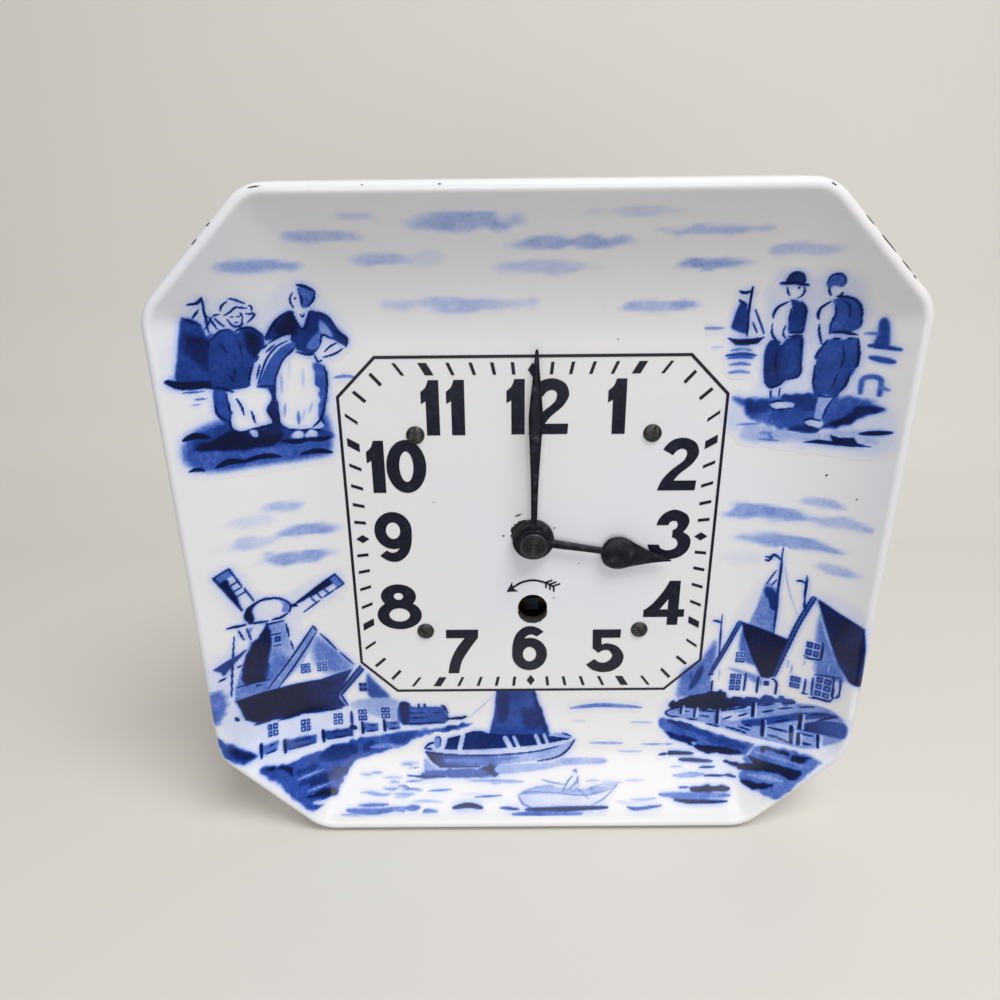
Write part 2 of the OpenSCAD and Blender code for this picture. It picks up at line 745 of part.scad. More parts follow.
module third_wheel() {
    color("goldenrod") stand() crossed_wheel(third_at, third_n, third_m, third_z, wheel_t,
        arbor_r * 0.9 + tiny, 2.4, 5, fourth_turn);
}

module fourth_arbor() {
    color("gray") stand() {
        pivoted_bar(fourth_at, arbor_r * 0.75, pivot_r);
        leaves(fourth_at, fourth_pinion_n, third_m, third_z - 0.7, third_z + wheel_t + 0.7, fourth_turn);
    }
}

module fourth_wheel() {
    color("goldenrod") stand() crossed_wheel(fourth_at, fourth_n, fourth_m, fourth_z, wheel_t,
        arbor_r * 0.75 + tiny, 2, 4, escape_turn);
}

fine_r = arbor_r * 0.5;
module escape_arbor() {
    color("gray") stand() {
        pivoted_bar(escape_at, fine_r, pivot_r * 0.8);
        leaves(escape_at, escape_pinion_n, fourth_m, fourth_z - 0.7, fourth_z + wheel_t + 0.7, escape_turn);
    }
}

// Escape wheel: long leaning teeth on a light rim
module escape_wheel() {
    step = 360 / escape_n;
    root_r = escape_r - 1.7;
    light_r = 0.8; // holes that lighten the wheel
    light_orbit = 2.2;
    color("goldenrod") stand() translate([escape_at[0], escape_at[1], escape_z])
        linear_extrude(height = wheel_t) difference() {
            polygon([for (i = [0:escape_n - 1]) let (a = i * step)
                for (q = [[root_r, 0.5], [escape_r, 0.12], [escape_r, -0.02], [root_r, 0.05]])
                    beside([0, 0], q[0], a - q[1] * step)]);
            circle(r = fine_r + tiny, $fn = small_fn);
            for (k = [0:4]) rotate(k * 72) translate([light_orbit, 0]) circle(r = light_r, $fn = small_fn);
        }
}

// Pallet lever: a plate with two steel pins astride the escape wheel and a fork to the balance
module pallet_arbor() {
    color("gray") stand() pivoted_bar(pallet_at, fine_r, pivot_r * 0.8);
}

impulse_orbit = 2.2;
impulse_r = 0.35;
fork_clear = 0.3;
fork_l = pallet_reach - impulse_orbit - impulse_r - fork_clear;
pallet_pins = [for (s = [-1, 1]) beside(escape_at, escape_r + pin_clear, pallet_turn + s * pallet_span)];
module pallet_lever() {
    hub_r = 1.6;
    arm_w = 1;
    pin_pad_r = 0.7;
    fork_d = 1.4;
    fork_w = 0.9;
    fork_half = 1.5;
    color("goldenrod") stand() {
        sheet_at(lever_z, lever_t) difference() {
            union() {
                translate(pallet_at) circle(r = hub_r, $fn = small_fn);
                for (q = pallet_pins) {
                    run = q - pallet_at;
                    translate(pallet_at) rotate(atan2(run[1], run[0])) translate([0, -arm_w / 2])
                        square([norm(run), arm_w]);
                    translate(q) circle(r = pin_pad_r, $fn = small_fn);
                }
                translate(pallet_at) rotate(balance_turn) difference() {
                    polygon([[0, 1.1], [fork_l - 2, 0.6], [fork_l, fork_half], [fork_l, -fork_half],
                        [fork_l - 2, -0.6], [0, -1.1]]);
                    translate([fork_l - fork_d, -fork_w / 2]) square([fork_d + cut, fork_w]);
                }
            }
            translate(pallet_at) circle(r = fine_r + tiny, $fn = small_fn);
        }
        for (q = pallet_pins) bar(q, pin_r, escape_z - 0.2, lever_z + 0.1);
    }
}

// Balance: a plain rim on two spokes, its staff between two cup screws
staff_r = 0.8;
cup_r = 2.3;
cup_in = 1.2;
module balance_staff() {
    point_l = 0.6;
    low = back_in + cup_in;
    high = front_in - cup_in;
    color("gray") stand() {
        bar(balance_at, staff_r, low + point_l, high - point_l);
        for (end = [[low, 0.12, staff_r], [high - point_l, staff_r, 0.12]])
            translate([balance_at[0], balance_at[1], end[0]])
                cylinder(r1 = end[1], r2 = end[2], h = point_l, $fn = small_fn);
    }
}

module balance_wheel() {
    rim_w = 1.6;
    color("gold") stand() {
        translate([balance_at[0], balance_at[1], balance_z]) linear_extrude(height = balance_t)
            difference() {
                circle(r = balance_r, $fn = round_fn);
                circle(r = balance_r - rim_w, $fn = round_fn);
            }
        translate([balance_at[0], balance_at[1], balance_z + balance_t / 3])
            linear_extrude(height = balance_t / 3) difference() {
                union() {
                    square([2 * balance_r - rim_w, 1.8], center = true);
                    circle(r = 2.2, $fn = small_fn);
                }
                circle(r = staff_r + tiny, $fn = small_fn);
            }
    }
}

module impulse_roller() {
    disc_t = 0.7;
    pin_at = beside(balance_at, impulse_orbit, balance_turn + 180);
    color("gray") stand() {
        difference() {
            bar(balance_at, impulse_orbit + 0.7, roller_z, roller_z + disc_t);
            bar(balance_at, staff_r + tiny, roller_z - cut, roller_z + disc_t + cut);
        }
        bar(pin_at, impulse_r, roller_z + disc_t - 0.1, lever_z + lever_t + 0.5);
    }
}

// Hairspring: a flat coil from its collet to the stud in the back plate
hair_t = 0.16;
hair_turns = 7;
hair_in = 1.4;
curb_r = 5.7;
hair_stud_r = 0.45;
hair_end = 40;
hair_steps = 36;
hair_slot = 0.3;
function hair_at(a) = curb_r - (curb_r - hair_in) * (hair_end - a) / 360 / hair_turns;
stud_at = beside(balance_at, curb_r + hair_t / 2, hair_end);
function hair(off) = [for (i = [0:hair_turns * hair_steps])
    let (s = i / hair_turns / hair_steps)
    beside([0, 0], hair_in + off + (curb_r - hair_in) * s, hair_end - hair_turns * 360 * (1 - s))];
module hairspring() {
    color("steelblue") stand() {
        sheet_at(hairspring_z, hairspring_h) translate(balance_at)
            polygon(concat(hair(0), reversed(hair(hair_t))));
        difference() {
            bar(balance_at, hair_in + hair_t / 2, hairspring_z - 0.3, hairspring_z + hairspring_h + 0.3);
            bar(balance_at, staff_r + tiny, hairspring_z - 1, hairspring_z + hairspring_h + 1);
        }
    }
}

module hairspring_stud() {
    color("goldenrod") stand() difference() {
        bar(stud_at, hair_stud_r, frame_back - 0.5, hairspring_z + hairspring_h + 0.4);
        translate([stud_at[0], stud_at[1], hairspring_z + hairspring_h / 2])
            rotate([0, 0, hair_end + 90])
                cube([4 * hair_stud_r, hair_slot, hairspring_h + 4 * tiny], center = true);
    }
}

module balance_cups() {
    head_l = 1.2;
    dish = 0.35;
    color("gray") stand() {
        difference() {
            bar(balance_at, cup_r, front_in - cup_in, frame_front + head_l);
            translate([balance_at[0], balance_at[1], front_in - cup_in - dish])
                cylinder(r1 = 1.6, r2 = 0.3, h = 2 * dish + 0.3, $fn = small_fn);
            translate([balance_at[0] - cup_r - 1, balance_at[1] - slot_w / 2, frame_front + head_l / 2])
                cube([2 * cup_r + 2, slot_w, head_l]);
        }
        difference() {
            bar(balance_at, cup_r, frame_back - head_l - index_t, back_in + cup_in);
            translate([balance_at[0], balance_at[1], back_in + cup_in - dish - 0.3])
                cylinder(r1 = 0.3, r2 = 1.6, h = 2 * dish + 0.3, $fn = small_fn);
            translate([balance_at[0] - cup_r - 1, balance_at[1] - slot_w / 2, frame_back - head_l - index_t - cut])
                cube([2 * cup_r + 2, slot_w, head_l / 2 + cut]);
        }
    }
}

// Regulator: a ring on the back cup with two curb pins astride the hairspring and a tail that
// shows in the cover's slot
index_t = 0.8;
module regulator() {
    index_z = frame_back - 0.2 - index_t;
    curb_half = 0.3;
    curb_pin_r = 0.12;
    color("goldenrod") stand() {
        sheet_at(index_z, index_t) translate(balance_at) difference() {
            union() {
                circle(r = cup_r + 1.9, $fn = small_fn);
                rotate(index_turn) translate([0, -1.2]) square([index_l, 2.4]);
            }
            circle(r = cup_r + run_gap, $fn = small_fn);
        }
        bar(beside(balance_at, index_l, index_turn), 1.2, case_back + 0.1, index_z + index_t);
        for (s = [-1, 1])
            bar(beside(balance_at, hair_at(index_turn - 360) + hair_t / 2 + s * curb_half, index_turn), curb_pin_r,
                index_z + index_t - 0.1, hairspring_z + hairspring_h + 0.4);
    }
}

// Motion work: the cannon carries the minute hand, and two steps of gearing give the hour
module cannon_pinion() {
    color("gray") stand() difference() {
        union() {
            bar(centre_at, cannon_pipe_r, cannon_z, minute_top);
            leaves(centre_at, cannon_n, cannon_m, cannon_z, cannon_z + cannon_leaf_h, minute_turn_at + 180);
        }
        bar(centre_at, centre_shaft_r + tiny, cannon_z - cut, minute_top + cut);
    }
}

post_foot_r = 0.9;
minute_pinion_top = hour_wheel_z + motion_t + 0.4;
module minute_wheel() {
    color("goldenrod") stand() crossed_wheel(minute_at, minute_n, cannon_m, minute_wheel_z, motion_t,
        1.5 + tiny, 3, 4, minute_turn_at + 180);
}

module minute_pinion() {
    color("gray") stand() difference() {
        union() {
            bar(minute_at, 1.5, cannon_z, minute_wheel_z + motion_t + 0.1);
            leaves(minute_at, minute_pinion_n, hour_m, minute_wheel_z + motion_t, minute_pinion_top,
                minute_turn_at);
        }
        bar(minute_at, post_foot_r + run_gap, cannon_z - cut, minute_pinion_top + cut);
    }
}

module minute_post() {
    color("gray") stand() {
        bar(minute_at, post_foot_r, front_in, minute_pinion_top + 0.3);
        bar(minute_at, 1.6, frame_front, cannon_z - 0.1);
        bar(minute_at, 1.5, minute_pinion_top + 0.1, minute_pinion_top + 0.7);
    }
}

module hour_wheel() {
    color("goldenrod") stand() difference() {
        union() {
            crossed_wheel(centre_at, hour_n, hour_m, hour_wheel_z, motion_t, cannon_pipe_r + 0.1, 4, 4,
                minute_turn_at);
            bar(centre_at, hour_pipe_r, hour_wheel_z - 0.3, hour_z + hand_t);
        }
        bar(centre_at, cannon_pipe_r + run_gap, hour_wheel_z - 1, hour_z + hand_t + cut);
    }
}

// Hour hand: a slim shaft that swells to a leaf and runs out to a point
module hour_hand() {
    leaf_at = hour_l * 0.63;
    leaf_r = hour_w / 2;
    tip_lean = asin(leaf_r / (hour_l - leaf_at));
    boss_r = 5.6;
    color([0.13, 0.12, 0.12]) stand() rotate([0, 0, 90 - hour_turn]) difference() {
        union() {
            sheet_at(hour_z, hand_t) {
                circle(r = boss_r, $fn = round_fn);
                translate([0, -1.6]) square([leaf_at, 3.2]);
                translate([leaf_at, 0]) circle(r = leaf_r, $fn = round_fn);
                polygon([
                    [hour_l, 0], beside([leaf_at, 0], leaf_r, 90 - tip_lean),
                    beside([leaf_at, 0], leaf_r, tip_lean - 90)
                ]);
                polygon([[leaf_at * 0.72, 1.6], [leaf_at * 0.72, -1.6],
                    beside([leaf_at, 0], leaf_r, -125), beside([leaf_at, 0], leaf_r, 125)]);
            }
            bar(centre_at, boss_r * 0.78, hour_z - 1, hour_z + 0.1, round_fn);
        }
        bar(centre_at, hour_pipe_r + tiny, hour_z - 2, hour_z + hand_t + cut, round_fn);
    }
}

// Minute hand: a long lance, widest at two thirds of its length
module minute_hand() {
    wide_at = minute_l * 0.66;
    boss_r = 4.6;
    color([0.13, 0.12, 0.12]) stand() rotate([0, 0, 90 - minute_turn]) difference() {
        union() {
            bar(centre_at, boss_r, minute_z, minute_z + hand_t, round_fn);
            sheet_at(minute_z, hand_t)
                polygon([[0, 0.95], [wide_at * 0.5, 1.15], [wide_at, minute_w / 2], [minute_l, 0],
                    [wide_at, -minute_w / 2], [wide_at * 0.5, -1.15], [0, -0.95]]);
        }
        bar(centre_at, cannon_pipe_r + tiny, minute_z - cut, minute_z + hand_t + cut);
    }
}

// Stepped round nut that holds the minute hand down
module hand_nut() {
    rings = [[3.9, 0.7], [3.1, 0.7], [2.1, 0.7]];
    color([0.13, 0.12, 0.12]) stand() difference() {
        union() for (i = [0:2]) bar(centre_at, rings[i][0], nut_z, nut_z + (i + 1) * rings[i][1], round_fn);
        bar(centre_at, centre_shaft_r + tiny, nut_z - cut, nut_z + 1.3);
    }
}

dial_plate();
dial_screws();
dial_washers();
movement_case();
back_cover();
hanger();
hanger_rivets();
dial_posts();
front_plate();
back_plate();
plate_pillars();
pillar_nuts();
mainspring();
winding_arbor();
ratchet_wheel();
great_wheel();
click();
click_screw();
click_spring();
second_arbor();
second_wheel();
centre_arbor();
centre_wheel();
third_arbor();
third_wheel();
fourth_arbor();
fourth_wheel();
escape_arbor();
escape_wheel();
pallet_arbor();
pallet_lever();
balance_staff();
balance_wheel();
impulse_roller();
hairspring();
hairspring_stud();
balance_cups();
regulator();
cannon_pinion();
minute_wheel();
minute_pinion();
minute_post();
hour_wheel();
hour_hand();
minute_hand();
hand_nut();
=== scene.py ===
import json
import math

import bmesh
import bpy
import numpy as np
from mathutils import Matrix, Vector
from mathutils.geometry import delaunay_2d_cdt


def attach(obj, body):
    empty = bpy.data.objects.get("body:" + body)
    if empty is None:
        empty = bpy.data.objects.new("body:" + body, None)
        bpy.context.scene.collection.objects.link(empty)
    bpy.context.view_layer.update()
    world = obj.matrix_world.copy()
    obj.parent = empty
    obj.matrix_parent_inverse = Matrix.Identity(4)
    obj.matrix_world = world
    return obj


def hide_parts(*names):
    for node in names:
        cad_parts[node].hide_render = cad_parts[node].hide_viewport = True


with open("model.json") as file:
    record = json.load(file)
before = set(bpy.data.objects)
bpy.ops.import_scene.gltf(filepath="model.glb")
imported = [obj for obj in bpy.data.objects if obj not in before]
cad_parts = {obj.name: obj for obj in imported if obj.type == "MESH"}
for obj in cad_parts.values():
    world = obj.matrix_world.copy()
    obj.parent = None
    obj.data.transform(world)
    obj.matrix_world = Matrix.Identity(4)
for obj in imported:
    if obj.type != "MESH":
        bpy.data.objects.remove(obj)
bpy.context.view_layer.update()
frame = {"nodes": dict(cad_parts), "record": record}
scene = bpy.context.scene
scene.view_settings.view_transform = "Standard"

# Viewpoint: the clock leans back and is seen from a little above and a hand's breadth to the
# left of its middle, through a phone's main lens.
viewer = bpy.data.objects.new("viewer", bpy.data.cameras.new("viewer"))
viewer.data.lens = 28.8
viewer.data.sensor_width = 36
viewer.data.clip_start = 0.01
viewer.location = (-0.00899, -0.27122, 0.05096)
viewer.rotation_mode = "ZYX"
viewer.rotation_euler = (1.17051, 0.00487, -0.00849)
scene.collection.objects.link(viewer)
scene.camera = viewer

# Dial plate: one sheet of steel pressed into a square dish with its corners cut, its crest
# rolled and its edge turned back, then dipped and fired in white enamel. Millimetres from the
# dial's middle, x to the right, y up, z out to the viewer.
PLATE_HALF = 104
CORNER_CUT = 31
CUT_FAR = (2 * PLATE_HALF - CORNER_CUT) / math.sqrt(2)
TURN_R = 13
TURN_NEAR = PLATE_HALF - TURN_R
TURN_FAR = PLATE_HALF - CORNER_CUT - TURN_R * math.tan(math.pi / 8)
MITRE_SOFT = 1.6
MITRE_FROM = 7
MITRE_OVER = 9
BORDER_W = 42.5
CREST_R = 2
CREST_AXIS_H = 13.5
HOLLOW_RUN = BORDER_W - CREST_R
HOLLOW_R = (HOLLOW_RUN ** 2 + CREST_AXIS_H ** 2 - CREST_R ** 2) / 2 / (CREST_AXIS_H + CREST_R)
ROLL_START = BORDER_W - HOLLOW_RUN * HOLLOW_R / (HOLLOW_R + CREST_R)
ROLL_TURN = math.degrees(math.atan2(HOLLOW_R - CREST_AXIS_H, -HOLLOW_RUN))
EDGE_LOW = -1
SHEET_T = 1.6
CENTRE_HOLE_R = 4.4
KEYHOLE_R = 5
KEYHOLE_Y = -25.2
SCREW_HOLE_R = 1.7
SCREW_X = 35
SCREW_Y = 33.75
# From these millimetres to the clock's own frame in metres, where the dial faces -y
DIAL_Y = -0.046
DIAL_Z = -0.057
stand = Matrix(((0.001, 0, 0, 0), (0, 0, -0.001, DIAL_Y), (0, 0.001, 0, DIAL_Z), (0, 0, 0, 1)))


def inset(x, y):
    """How far a point of the plate lies inside its edge, seen from the front."""
    ax, ay = np.abs(x), np.abs(y)
    sides = np.stack([PLATE_HALF - ax, PLATE_HALF - ay, CUT_FAR - (ax + ay) / math.sqrt(2)])
    depth = sides.min(0)
    for qx, qy, low in ((TURN_NEAR, TURN_FAR, 0), (TURN_FAR, TURN_NEAR, 45)):
        angle = np.degrees(np.arctan2(ay - qy, ax - qx))
        in_turn = (angle >= low) & (angle <= low + 45)
        depth = np.where(in_turn, TURN_R - np.hypot(ax - qx, ay - qy), depth)
    softened = -MITRE_SOFT * np.log(np.exp(-sides / MITRE_SOFT).sum(0))
    inwards = np.clip((depth - MITRE_FROM) / MITRE_OVER, 0, 1)
    return depth + (softened - depth) * inwards


def surface(x, y):
    """Height of the plate's front face: a flat dial, a hollow border and a rolled crest."""
    e = inset(x, y)
    run = np.clip(BORDER_W - e, 0, BORDER_W - ROLL_START)
    hollow = HOLLOW_R - np.sqrt(HOLLOW_R ** 2 - run ** 2)
    over = np.clip(CREST_R - e, CREST_R - ROLL_START, CREST_R - 0.02)
    crest = CREST_AXIS_H + np.sqrt(CREST_R ** 2 - over ** 2)
    return np.where(e < ROLL_START, crest, hollow)


def outwards(x, y):
    """Direction from a point of the border straight out to the edge."""
    h = 0.05
    away = np.array([
        inset(np.array(x - h), np.array(y)) - inset(np.array(x + h), np.array(y)),
        inset(np.array(x), np.array(y - h)) - inset(np.array(x), np.array(y + h)),
    ])
    return away / np.linalg.norm(away)


# Fired enamel: white glass melted on the steel, wet and glossy to the eye, with ripples about
# 4 mm across and duller patches left by wiping. The decoration is cobalt under the same glaze;
# its strength is the attribute "ink", and its specks, really 0.2 mm, are drawn 1 mm wide to show.
def srgb(code):
    """A hex colour as Blender's linear one."""
    parts = [int(code[i:i + 2], 16) / 255 for i in (1, 3, 5)]
    return [c / 12.92 if c <= 0.04045 else ((c + 0.055) / 1.055) ** 2.4 for c in parts] + [1]


def add_node(tree, kind, inputs=None, **settings):
    """Adds a node, sets it, and fills its sockets with values or with links."""
    made = tree.nodes.new(kind)
    for name, value in settings.items():
        setattr(made, name, value)
    for name, value in (inputs or {}).items():
        if isinstance(value, bpy.types.NodeSocket):
            tree.links.new(value, made.inputs[name])
        else:
            made.inputs[name].default_value = value
    return made


def colours(ramp, stops):
    """Sets a colour ramp's stops from places and hex codes."""
    while len(ramp.color_ramp.elements) > 1:
        ramp.color_ramp.elements.remove(ramp.color_ramp.elements[0])
    ramp.color_ramp.elements[0].position = stops[0][0]
    ramp.color_ramp.elements[0].color = srgb(stops[0][1])
    for place, code in stops[1:]:
        ramp.color_ramp.elements.new(place).color = srgb(code)
    return ramp.outputs["Color"]


def new_material(name):
    """An empty material with its output, its shader and Object coordinates."""
    made = bpy.data.materials.new(name)
    made.use_nodes = True
    tree = made.node_tree
    tree.nodes.clear()
    shader = add_node(tree, "ShaderNodeBsdfPrincipled")
    add_node(tree, "ShaderNodeOutputMaterial", {"Surface": shader.outputs["BSDF"]})
    place = add_node(tree, "ShaderNodeTexCoord").outputs["Object"]
    return made, tree, shader, place


white_enamel, tree, glaze_shader, place = new_material("fired_enamel")
ink = add_node(tree, "ShaderNodeAttribute", attribute_name="ink").outputs["Fac"]
spray = add_node(tree, "ShaderNodeTexNoise", {"Vector": place, "Scale": 900, "Detail": 3,
                                              "Roughness": 0.7}).outputs["Fac"]
drift = add_node(tree, "ShaderNodeTexNoise", {"Vector": place, "Scale": 160, "Detail": 2}).outputs["Fac"]
grain = add_node(tree, "ShaderNodeMath", {0: spray, 1: drift}, operation="ADD").outputs[0]
grain = add_node(tree, "ShaderNodeMath", {0: grain, 1: -1.0}, operation="ADD").outputs[0]
thin = add_node(tree, "ShaderNodeMath", {0: 1.12, 1: ink}, operation="SUBTRACT").outputs[0]
thin = add_node(tree, "ShaderNodeMath", {0: thin, 1: ink}, operation="MULTIPLY").outputs[0]
uneven = add_node(tree, "ShaderNodeMath", {0: thin, 1: grain}, operation="MULTIPLY").outputs[0]
strength = add_node(tree, "ShaderNodeMath", {0: uneven, 1: 1.1, 2: ink},
                    operation="MULTIPLY_ADD").outputs[0]
ramp = add_node(tree, "ShaderNodeValToRGB", {"Fac": strength})
cobalt = colours(ramp, [
    (0.0, "#e6e7e7"), (0.1, "#cad3e8"), (0.25, "#9cafdc"), (0.45, "#5877c4"), (0.62, "#2c4fa4"),
    (0.8, "#16357f"), (0.92, "#0c2260"), (1.0, "#050f33"),
])
cloudy = add_node(tree, "ShaderNodeTexNoise", {"Vector": place, "Scale": 14, "Detail": 3}).outputs["Fac"]
tint = colours(add_node(tree, "ShaderNodeValToRGB", {"Fac": cloudy}),
               [(0.35, "#fbfbff"), (0.65, "#fffaf8")])
body_colour = add_node(tree, "ShaderNodeMix", {"Factor": 1.0, 6: cobalt, 7: tint},
                       data_type="RGBA", blend_type="MULTIPLY").outputs[2]
tree.links.new(body_colour, glaze_shader.inputs["Base Color"])
ripple = add_node(tree, "ShaderNodeTexNoise", {"Vector": place, "Scale": 220, "Detail": 2}).outputs["Fac"]
settled = add_node(tree, "ShaderNodeBump", {"Strength": 0.25, "Distance": 0.0001, "Height": ripple})
tree.links.new(settled.outputs["Normal"], glaze_shader.inputs["Normal"])
wiped = add_node(tree, "ShaderNodeTexNoise", {"Vector": place, "Scale": 60, "Detail": 4}).outputs["Fac"]
gloss = add_node(tree, "ShaderNodeMapRange", {"Value": wiped, "From Min": 0.3, "From Max": 0.7,
                                              "To Min": 0.1, "To Max": 0.2}).outputs["Result"]
tree.links.new(gloss, glaze_shader.inputs["Roughness"])
glaze_shader.inputs["IOR"].default_value = 1.52
glaze_shader.inputs["Specular IOR Level"].default_value = 0.36

# Back of the plate: the thin blue-grey ground coat under the white, half glossy, uneven over
# 30 mm and speckled with overspray. The specks, really finer, are drawn 0.7 mm wide to show.
ground_coat, tree, shader, place = new_material("ground_coat_enamel")
speckle = add_node(tree, "ShaderNodeTexNoise", {"Vector": place, "Scale": 1500, "Detail": 2}).outputs["Fac"]
patchy = add_node(tree, "ShaderNodeTexNoise", {"Vector": place, "Scale": 30, "Detail": 4}).outputs["Fac"]
mixed = add_node(tree, "ShaderNodeMath", {0: speckle, 1: patchy}, operation="ADD").outputs[0]
coat = colours(add_node(tree, "ShaderNodeValToRGB", {"Fac": mixed}),
               [(0.75, "#252b36"), (0.98, "#353d4b"), (1.12, "#4a5363"), (1.3, "#7b828d")])
tree.links.new(coat, shader.inputs["Base Color"])
shader.inputs["Roughness"].default_value = 0.28
orange = add_node(tree, "ShaderNodeBump", {"Strength": 0.4, "Distance": 0.0002, "Height": patchy})
tree.links.new(orange.outputs["Normal"], shader.inputs["Normal"])


def slice_off(bm, point, facing, clear=True):
    """Cuts a bmesh along a plane and clears what lies beyond it."""
    bmesh.ops.bisect_plane(bm, geom=bm.verts[:] + bm.edges[:] + bm.faces[:], plane_co=point,
                           plane_no=facing, clear_outer=clear)


# The flat sheet is cut to the crest's start: four sides, four corners, and the turns between
plate = bmesh.new()
bmesh.ops.create_grid(plate, x_segments=160, y_segments=160, size=PLATE_HALF)
for far, lean in ((PLATE_HALF, 0), (CUT_FAR, 45)):
    for k in range(4):
        angle = math.radians(lean + 90 * k)
        facing = Vector((math.cos(angle), math.sin(angle), 0))
        slice_off(plate, facing * (far - ROLL_START), facing)
for k in range(4):
    for qx, qy, low in ((TURN_NEAR, TURN_FAR, 0), (TURN_FAR, TURN_NEAR, 45)):
        for part in range(1, 8):
            angle = math.radians(low + 45 * part / 8 + 90 * k)
            facing = Vector((math.cos(angle), math.sin(angle), 0))
            centre = Matrix.Rotation(math.pi / 2 * k, 3, "Z") @ Vector((qx, qy, 0))
            slice_off(plate, centre + facing * (TURN_R - ROLL_START), facing)
bmesh.ops.remove_doubles(plate, verts=[v for v in plate.verts if v.is_boundary], dist=0.3)

# Each hole gets a clean round rim, stitched to the grid round it
holes = [(0, 0, CENTRE_HOLE_R), (0, KEYHOLE_Y, KEYHOLE_R)]
holes += [(x, y, SCREW_HOLE_R) for y in (SCREW_Y, -SCREW_Y) for x in (SCREW_X, -SCREW_X)]
cleared, stitched = 0.9, 4
for hx, hy, hole_r in holes:
    near = [v for v in plate.verts if math.hypot(v.co.x - hx, v.co.y - hy) < hole_r + cleared]
    bmesh.ops.delete(plate, geom=near, context="VERTS")
    ragged = [e for e in plate.edges if e.is_boundary
              and math.hypot(e.verts[0].co.x - hx, e.verts[0].co.y - hy) < hole_r + stitched]
    rim = bmesh.ops.create_circle(plate, segments=24 if hole_r == SCREW_HOLE_R else 56, radius=hole_r,
                                  matrix=Matrix.Translation((hx, hy, 0)))["verts"]
    loop = list({e for v in rim for e in v.link_edges})
    bmesh.ops.triangle_fill(plate, edges=ragged + loop, use_beauty=True, use_dissolve=False)

flat = np.array([v.co for v in plate.verts])
for v, z in zip(plate.verts, surface(flat[:, 0], flat[:, 1])):
    v.co.z = z

# The crest is rolled over and the edge runs straight back behind it
outer = [e for e in plate.edges if e.is_boundary and e.verts[0].co.z > 5]
ways = {}
for turn in np.linspace(ROLL_TURN, 0, 13)[1:].tolist() + [None]:
    grown = bmesh.ops.extrude_edge_only(plate, edges=outer)["geom"]
    outer = [g for g in grown if isinstance(g, bmesh.types.BMEdge)]
    fresh = [g for g in grown if isinstance(g, bmesh.types.BMVert)]
    for v in fresh:
        key = (round(v.co.x, 4), round(v.co.y, 4))
        old_inset, way = ways.get(key) or (ROLL_START, outwards(v.co.x, v.co.y))
        if turn is None:
            v.co.z = EDGE_LOW
            continue
        new_inset = CREST_R - CREST_R * math.cos(math.radians(turn))
        v.co.x += way[0] * (old_inset - new_inset)
        v.co.y += way[1] * (old_inset - new_inset)
        v.co.z = CREST_AXIS_H + CREST_R * math.sin(math.radians(turn))
        ways[(round(v.co.x, 4), round(v.co.y, 4))] = (new_inset, way)
bmesh.ops.recalc_face_normals(plate, faces=plate.faces[:])
if sum(f.normal.z for f in plate.faces) < 0:
    bmesh.ops.reverse_faces(plate, faces=plate.faces[:])
bmesh.ops.solidify(plate, geom=plate.faces[:], thickness=SHEET_T)
plate.verts.layers.float.new("ink")


def finish_piece(name, bm, material, body, sharp=35):
    """Turns a bmesh in dial millimetres into a piece that stands in the clock."""
    bm.transform(stand)
    mesh = bpy.data.meshes.new(name)
    bm.to_mesh(mesh)
    bm.free()
    mesh.shade_smooth()
    mesh.set_sharp_from_angle(angle=math.radians(sharp))
    for m in material if isinstance(material, list) else [material]:
        mesh.materials.append(m)
    piece = bpy.data.objects.new(name, mesh)
    scene.collection.objects.link(piece)
    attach(piece, body)
    return piece


plate.normal_update()
for f in plate.faces:
    inward = f.normal.dot(f.calc_center_median()) < 0
    behind = f.normal.z < -0.05 or (f.normal.z < 0.05 and inward)
    f.material_index = 1 if behind else 0
dish = finish_piece("enamelled_dish", plate, [white_enamel, ground_coat], "case")
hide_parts("dial_plate")

# Clouds: flat strips of pale spray, wider than high, over the top border and beside the dial.
# Like every painted scene they are cobalt laid on through stencils and by brush before the last
# firing, so each scene is a thin skin of glaze on the dish, worked out in soft and hard edges.
rough = np.random.default_rng(11).random((128, 128))


def mottle(x, y, size):
    """Smooth random value from 0 to 1 that changes over the given size."""
    u, v = x / size + 40, y / size + 40
    i, j = np.floor(u).astype(int), np.floor(v).astype(int)
    f, g = u - i, v - j
    f, g = f * f * (3 - 2 * f), g * g * (3 - 2 * g)
    a, b = rough[i % 128, j % 128], rough[(i + 1) % 128, j % 128]
    c, d = rough[i % 128, (j + 1) % 128], rough[(i + 1) % 128, (j + 1) % 128]
    return (a * (1 - f) + b * f) * (1 - g) + (c * (1 - f) + d * f) * g


def skin(x0, x1, y0, y1, step):
    """A bare patch of glaze, ready to be painted."""
    x, y = np.meshgrid(np.arange(x0, x1 + step / 2, step), np.arange(y0, y1 + step / 2, step))
    return {"x": x, "y": y, "x0": x0, "y0": y0, "step": step, "ink": np.zeros_like(x)}


def near_part(patch, points, margin):
    """The part of a patch round some points."""
    low, high = points.min(0) - margin, points.max(0) + margin
    s = patch["step"]
    i0, i1 = int((low[1] - patch["y0"]) / s), int((high[1] - patch["y0"]) / s) + 2
    j0, j1 = int((low[0] - patch["x0"]) / s), int((high[0] - patch["x0"]) / s) + 2
    return slice(max(i0, 0), max(i1, 0)), slice(max(j0, 0), max(j1, 0))


